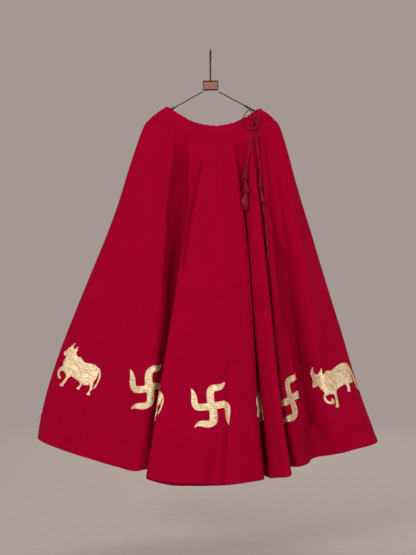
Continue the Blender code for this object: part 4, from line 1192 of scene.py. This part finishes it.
def add_cord(name, route, node):
    """A cord as one smooth curve of its own thickness."""
    line = smooth_route(route)
    curve = bpy.data.curves.new(name, "CURVE")
    curve.dimensions = "3D"
    curve.bevel_depth = CORD / 2
    curve.bevel_resolution = 5
    curve.use_fill_caps = True
    spline = curve.splines.new("POLY")
    spline.points.add(len(line) - 1)
    for spot, point in zip(spline.points, line):
        spot.co = (*point, 1)
    spline.use_smooth = True
    curve.materials.append(CORD_SATIN)
    length = float(np.linalg.norm(np.diff(line, axis=0), axis=1).sum())
    return place_on_body(name, curve, (node,)), line[0], length


def along_axis(top, foot):
    """Placement of a turned piece whose own axis runs down from its top, towards its foot."""
    down = Vector(foot - top).normalized()
    across = Vector((0, 1, 0)).cross(down).normalized()
    deep = down.cross(across).normalized()
    turn = Matrix((across, deep, down)).transposed().to_4x4()
    return Matrix.Translation(top) @ turn


def add_turned(name, rings, top, foot, finish, slot, node):
    """A piece made of rings along an axis, closed at both ends by a point on it."""
    place = along_axis(top, foot)
    columns = len(rings[0])
    points = [(0, 0, rings[0][0][2])]
    for ring in rings:
        points += ring
    points.append((0, 0, rings[-1][0][2]))
    end = len(points) - 1
    faces = ring_faces(len(rings), columns, start=1)
    for k in range(columns):
        beside = (k + 1) % columns
        faces += [(0, 1 + beside, 1 + k), (end, end - columns + k, end - columns + beside)]
    return add_piece(name, [place @ Vector(point) for point in points], faces, finish, slot,
                     sharp_angle=60, nodes=(node,))


def circle(columns):
    """Evenly spaced angles once round."""
    return [math.tau * k / columns for k in range(columns)]


def seeded_phases(seed, count):
    """Seeded angles at which the waves of a piece start."""
    draw = random.Random(seed)
    return [draw.uniform(0, 6.28) for _ in range(count)]


BELL_WALL = 1.0 * MM
BELL_LEAST = 0.3 * MM            # least radius of the hollow inside a bell
BELL_INSIDE = 0.42               # how far up the hollow reaches, as a share from the top
BELL_STITCH = dict(out=0.35, along=0.045, tall=0.03)
BELL_LIP = 0.13                  # depth of the notches between the mouth's lobes
PETAL_SEAM = dict(out=0.5, wide=0.16)
# Outlines down the axis: a bell's as shares of its neck's and mouth's radii, and a petal's of
# its widest one.
BELL_ALONG = (0, 0.05, 0.25, 0.6, 0.85, 1)
BELL_NECK = (0.75, 1, 1.25, 0, 0, 0)
BELL_MOUTH = (0, 0, 0, 0.66, 0.86, 1.08)
PETAL_ALONG = (0, 0.03, 0.3, 0.46, 0.6, 0.8, 0.94, 1)
PETAL_WIDTH = (0.16, 0.32, 0.70, 0.98, 1.1, 0.84, 0.42, 0.10)


def add_bell(side, tier, seed):
    """One tier of a tassel: a pleated bell of stitched satin with a lobed, hollow mouth."""
    top, foot = np.array(tier["top"]) * MM, np.array(tier["foot"]) * MM
    length = np.linalg.norm(foot - top)
    outline = (np.array(BELL_NECK) * tier["neck"] + np.array(BELL_MOUTH) * tier["mouth"]) * MM
    phase = seeded_phases(seed, 4)

    def reach(along, angle):
        body = np.interp(along, BELL_ALONG, outline)
        body += BELL_STITCH["out"] * MM * hill(along - BELL_STITCH["along"], BELL_STITCH["tall"])
        lobes = 0.07 * math.cos(4 * angle) + 0.05 * along * math.sin(9 * angle + phase[0])
        pleats = 0.045 * math.sin(16 * angle + phase[1] + 1.3 * along)
        slack = 0.05 * math.sin(2 * angle + phase[2] + 5 * along) * along
        return body * (1 + lobes + pleats * min(1, 3 * along) + slack)

    def ring(along, shrink):
        found = []
        for angle in circle(64):
            far = max(BELL_LEAST, reach(along, angle) - shrink)
            lip = length * (1 - BELL_LIP * abs(math.sin(2 * angle + phase[3])))
            found.append((far * math.cos(angle), far * tier["flat"] * math.sin(angle),
                          along * lip))
        return found

    rings = [ring(along, 0) for along in np.linspace(0, 1, 26)]
    rings.append(ring(1.0, BELL_WALL / 2))
    rings += [ring(along, BELL_WALL) for along in np.linspace(0.985, BELL_INSIDE, 12)]
    name = f"{side}_{tier['name']}"
    return add_turned(name, rings, top, foot, SATIN, "maroon_satin", "tassel_" + name)


def add_petal(side, tier, seed):
    """A leaf-shaped end tier of folded satin, with a seam down both edges."""
    top, foot = np.array(tier["top"]) * MM, np.array(tier["foot"]) * MM
    length = np.linalg.norm(foot - top)
    bow = tier.get("bow", 0) * MM
    phase = seeded_phases(seed, 2)
    rings = []
    for along in np.linspace(0, 1, 30):
        body = tier["widest"] * MM * np.interp(along, PETAL_ALONG, PETAL_WIDTH)
        found = []
        for angle in circle(40):
            fold = 1 + 0.10 * math.sin(3 * angle + phase[0] + 2.2 * along)
            fold += 0.05 * math.sin(7 * angle + phase[1] - 3 * along)
            seam = PETAL_SEAM["out"] * MM * hill(math.sin(angle), PETAL_SEAM["wide"])
            seam *= min(1, 6 * along)
            far = body * fold
            found.append(((far + seam) * math.cos(angle) + bow * math.sin(math.pi * along),
                          far * tier["flat"] * math.sin(angle), along * length))
        rings.append(found)
    name = f"{side}_{tier['name']}"
    return add_turned(name, rings, top, foot, SATIN, "maroon_satin", "tassel_" + name)


tassels = {side: [add_bell(side, tier, 3 + k) for k, tier in enumerate(bells)]
           + [add_petal(side, tier, 13 + len(bells) + k) for k, tier in enumerate(petals)]
           for side, bells, petals in (("left", LEFT_TASSEL, LEFT_PETALS),
                                       ("right", RIGHT_TASSEL, RIGHT_PETALS))}

wide, deep, tall = KNOT["radii"]
wraps = []
for step in range(KNOT["steps"] + 1):
    turn = math.tau * KNOT["turns"] * step / KNOT["steps"]
    height = tall * KNOT["fill"] * (1 - 2 * step / KNOT["steps"])
    swell = math.sqrt(1 - (height / tall) ** 2)
    wraps.append((KNOT["place"][0] + (wide - 1.4) * swell * math.cos(turn)
                  + KNOT["slant"] * height,
                  KNOT["place"][1] + (deep - 1.2) * swell * math.sin(turn),
                  KNOT["place"][2] + height))
knot_core = tube(smooth_route(((126.4, -24.4, -202.4), KNOT["place"], (129.6, -24.4, -193.8))),
                 KNOT["core"] * MM, 16)
knot_wraps = tube(even_line(np.array(wraps) * MM, 1.0 * MM), KNOT["strand"] * MM, 12)
knot = add_piece("knot", *joined([knot_core, knot_wraps]), CORD_SATIN, "maroon_satin",
                 nodes=("drawstring_knot",))
hitch = add_piece("hitch", *tube(smooth_route(HITCH_ROUTE, 1.5 * MM), CORD / 2, 16), CORD_SATIN,
                  "maroon_satin", nodes=("drawstring_hitch",))
for name, route, node, far_end, pieces in (
        ("bow_loop", LOOP_ROUTE, "drawstring_loop", "object", [knot]),
        ("left_tail", LEFT_TAIL_ROUTE + LEFT_INSIDE, "drawstring_left", "fitting",
         [hitch, *tassels["left"]]),
        ("right_tail", RIGHT_TAIL_ROUTE + RIGHT_INSIDE, "drawstring_right", "fitting",
         tassels["right"])):
    cord, start, length = add_cord(name, route, node)

# ---- hanger -----------------------------------------------------------------------------------

HOOK_WIRE = 5.2 * MM
HOOK_INNER = 20 * MM             # inner radius of the bend that lies on the rail
HOOK_TIP = 14 * MM               # straight run of the tip below the bend
BLOCK_X = 0.4 * MM
BLOCK_TOP = 90 * MM
BLOCK_SIZE = (45 * MM, 15 * MM, 28.6 * MM)
FRAME_EDGE = 3 * MM              # width of the metal round the window
FRAME_CHAMFER = 0.8 * MM
FRAME_CORNER = 2.0 * MM
WINDOW_CORNER = 1.0 * MM
WOOD_ROUND = 1.1 * MM
ARM_WIRE = 3.2 * MM
ARM_ROOT = dict(out=21.6 * MM, down=120.6 * MM)
ARM_TIP = dict(out=179.5 * MM, down=207.6 * MM)
ARMS_MIDDLE = 4 * MM
GRIP_RADIUS = 3.2 * MM
GRIP_START = dict(left=106 * MM, right=100 * MM)
GRIP_OVER = 3 * MM               # how far a grip reaches past its arm's tip
RIB_MARGIN = 4 * MM
RIB_STEP = 3.1 * MM
RIB_DEEP = 0.22 * MM
GAP = 0.3 * MM

# How the hook comes back from its bend to the middle: share of the bend's radius, mm down.
HOOK_RETURN = ((0.93, 9), (0.66, 19), (0.28, 28), (0.05, 37), (0, 46))

bend = HOOK_INNER + HOOK_WIRE / 2
hook = [(0, -bend, -HOOK_INNER - HOOK_TIP), (0, -bend, -HOOK_INNER - HOOK_TIP / 2)]
for step in range(17):
    angle = math.pi * (1 - step / 16)
    hook.append((0, bend * math.cos(angle), -HOOK_INNER + bend * math.sin(angle)))
hook += [(0, bend * share, -HOOK_INNER - down * MM) for share, down in HOOK_RETURN]
hook.append((0, 0, -BLOCK_TOP + GAP))
add_piece("hook", *tube(smooth_route(np.array(hook) / MM), HOOK_WIRE / 2, 24), METAL,
          "black_metal", nodes=("hanger_hook",))


def rounded_loop(wide, tall, radius, steps=6):
    """A rectangle with rounded corners, in X and Z about its middle."""
    loop = []
    for x, z, start in ((1, 1, 0), (-1, 1, 90), (-1, -1, 180), (1, -1, 270)):
        for step in range(steps + 1):
            angle = math.radians(start + 90 * step / steps)
            loop.append((x * (wide / 2 - radius) + radius * math.cos(angle),
                         z * (tall / 2 - radius) + radius * math.sin(angle)))
    return loop


# The block's frame: loops round its outside and its window, with chamfered edges.
wide, deep, tall = BLOCK_SIZE
window_wide, window_tall = wide - 2 * FRAME_EDGE, tall - 2 * FRAME_EDGE
chamfered = FRAME_CHAMFER - deep / 2
frame_points = []
for outside, grow, y in ((True, 0, chamfered), (True, -FRAME_CHAMFER, -deep / 2),
                         (False, FRAME_CHAMFER, -deep / 2), (False, 0, chamfered),
                         (False, 0, -chamfered), (False, FRAME_CHAMFER, deep / 2),
                         (True, -FRAME_CHAMFER, deep / 2), (True, 0, -chamfered)):
    if outside:
        loop_points = rounded_loop(wide + 2 * grow, tall + 2 * grow, FRAME_CORNER)
    else:
        loop_points = rounded_loop(window_wide + 2 * grow, window_tall + 2 * grow,
                                   WINDOW_CORNER)
    frame_points += [(BLOCK_X + x, y, z - BLOCK_TOP - tall / 2) for x, z in loop_points]
add_piece("block_frame", frame_points, ring_faces(8, len(frame_points) // 8, closed=True),
          METAL, "black_metal", sharp_angle=50, nodes=("hanger_frame",))

inset = 2 * (FRAME_EDGE + GAP)
work = bmesh.new()
bmesh.ops.create_cube(work, size=1.0)
bmesh.ops.scale(work, vec=(wide - inset, deep - 2 * FRAME_CHAMFER, tall - inset),
                verts=work.verts)
bmesh.ops.bevel(work, geom=work.edges[:], offset=WOOD_ROUND, segments=4, profile=0.6,
                affect="EDGES")
bmesh.ops.translate(work, vec=(BLOCK_X, 0, -BLOCK_TOP - tall / 2), verts=work.verts)
work.verts.index_update()
block_points = [tuple(vertex.co) for vertex in work.verts]
block_faces = [tuple(vertex.index for vertex in face.verts) for face in work.faces]
work.free()
add_piece("wood_block", block_points, block_faces, WOOD, "brown_wood", sharp_angle=40,
          nodes=("hanger_block",))


def grip_rows(length):
    """Distance along a ribbed rubber sleeve and its radius there, in metres."""
    rows = [(0.4 * MM, ARM_WIRE / 2 + 0.15 * MM), (0, ARM_WIRE / 2 + 0.6 * MM),
            (0.2 * MM, GRIP_RADIUS * 0.86), (0.8 * MM, GRIP_RADIUS * 0.97),
            (1.8 * MM, GRIP_RADIUS)]
    for way in np.arange(RIB_MARGIN, length - RIB_MARGIN, RIB_STEP):
        rows += [(way + off * MM, GRIP_RADIUS - deep)
                 for off, deep in ((0, 0), (0.35, RIB_DEEP), (0.9, RIB_DEEP), (1.25, 0))]
    return rows + [(length - 1.2 * MM, GRIP_RADIUS), (length - 0.4 * MM, GRIP_RADIUS * 0.85),
                   (length, GRIP_RADIUS * 0.5)]


for side, sign in (("left", -1), ("right", 1)):
    root = np.array((BLOCK_X + sign * ARM_ROOT["out"], 0, -ARM_ROOT["down"]))
    tip = np.array((ARMS_MIDDLE + sign * ARM_TIP["out"], 0, -ARM_TIP["down"]))
    run = units(tip - root)
    arm_path = even_line([root + run * ARM_WIRE / 2, tip - run * ARM_WIRE / 2], 8 * MM)
    add_piece("arm_" + side, *tube(arm_path, ARM_WIRE / 2, 20), METAL, "black_metal",
              nodes=("hanger_arm_" + side,))
    start = root + run * ((GRIP_START[side] - ARM_ROOT["out"]) / abs(run[0]))
    end = tip + run * GRIP_OVER
    grip_rings = [[(radius * math.cos(angle), radius * math.sin(angle), way)
                   for angle in circle(24)]
                  for way, radius in grip_rows(np.linalg.norm(end - start))]
    add_turned("grip_" + side, grip_rings, start, end, RUBBER, "black_rubber",
                            "hanger_grip_" + side)

# ---- the stitches and motifs that lie on each panel, gathered ---------------------------------

for name, first, last in PANELS:
    on_it = [hem_stitches[name]]
    for share, pieces in motifs:
        if first <= share < last or first <= share + 1 < last:
            on_it += pieces

# ---- camera, light, floor ---------------------------------------------------------------------

camera_data = bpy.data.cameras.new("camera")
camera_data.lens = 57.07
camera_data.sensor_width = 36
camera_data.shift_x, camera_data.shift_y = 0.0443, -0.0054
camera = bpy.data.objects.new("camera", camera_data)
camera.location = (-0.08, -2.6, -0.6618)
camera.rotation_euler = (math.radians(90), 0, 0)
bpy.context.collection.objects.link(camera)
bpy.context.scene.camera = camera
SKIRT_MIDDLE = Vector((0, 0, -0.8))


def add_light(name, place, size, power, colour=(1, 1, 1)):
    """A large soft lamp that faces the middle of the skirt."""
    data = bpy.data.lights.new(name, "AREA")
    data.shape = "RECTANGLE"
    data.size = data.size_y = size
    data.energy = power
    data.color = colour
    lamp = bpy.data.objects.new(name, data)
    lamp.location = place
    lamp.rotation_euler = (SKIRT_MIDDLE - Vector(place)).to_track_quat("-Z", "Y").to_euler()
    bpy.context.collection.objects.link(lamp)


add_light("key", (-2.2, -3.1, 0.9), 0.9, 81, (1.0, 0.985, 0.96))
add_light("fill", (2.0, -3.4, -0.3), 1.4, 63, (0.97, 0.98, 1.0))
add_light("top", (0.2, 0.5, 2.4), 2.4, 25)
add_light("back", (0.6, 3.6, 0.6), 2.4, 90)

world = bpy.data.worlds.new("room")
bpy.context.scene.world = world
world.use_nodes = True
background = world.node_tree.nodes["Background"]
background.inputs["Color"].default_value = (0.376, 0.314, 0.296, 1)
background.inputs["Strength"].default_value = 1.0
bpy.context.scene.view_settings.view_transform = "Standard"

# A pale floor that fades out into the room towards its edge.
FLOOR_DOWN = 1.50
FLOOR_RADIUS = 2.6
FLOOR_FADES = 0.6
floor_finish = Finish("pale_floor", (0.40, 0.345, 0.325), 0.9)
where = floor_finish.node("TexCoord").outputs["Object"]
far = floor_finish.node("VectorMath", where, operation="LENGTH").outputs["Value"]
speckle = floor_finish.noise(where, 30.0)
floor_finish.shade(base_color=floor_finish.colours(speckle, (0.3, (0.385, 0.325, 0.305)),
                                                   (0.7, (0.410, 0.350, 0.330))),
                   alpha=floor_finish.spread(far, FLOOR_FADES, FLOOR_RADIUS, 1.0, 0.0))
bpy.ops.mesh.primitive_circle_add(vertices=96, radius=FLOOR_RADIUS, fill_type="NGON",
                                  location=(0, 0, -FLOOR_DOWN))
floor = bpy.context.object
floor.name = "floor"
floor.data.materials.append(floor_finish.material)
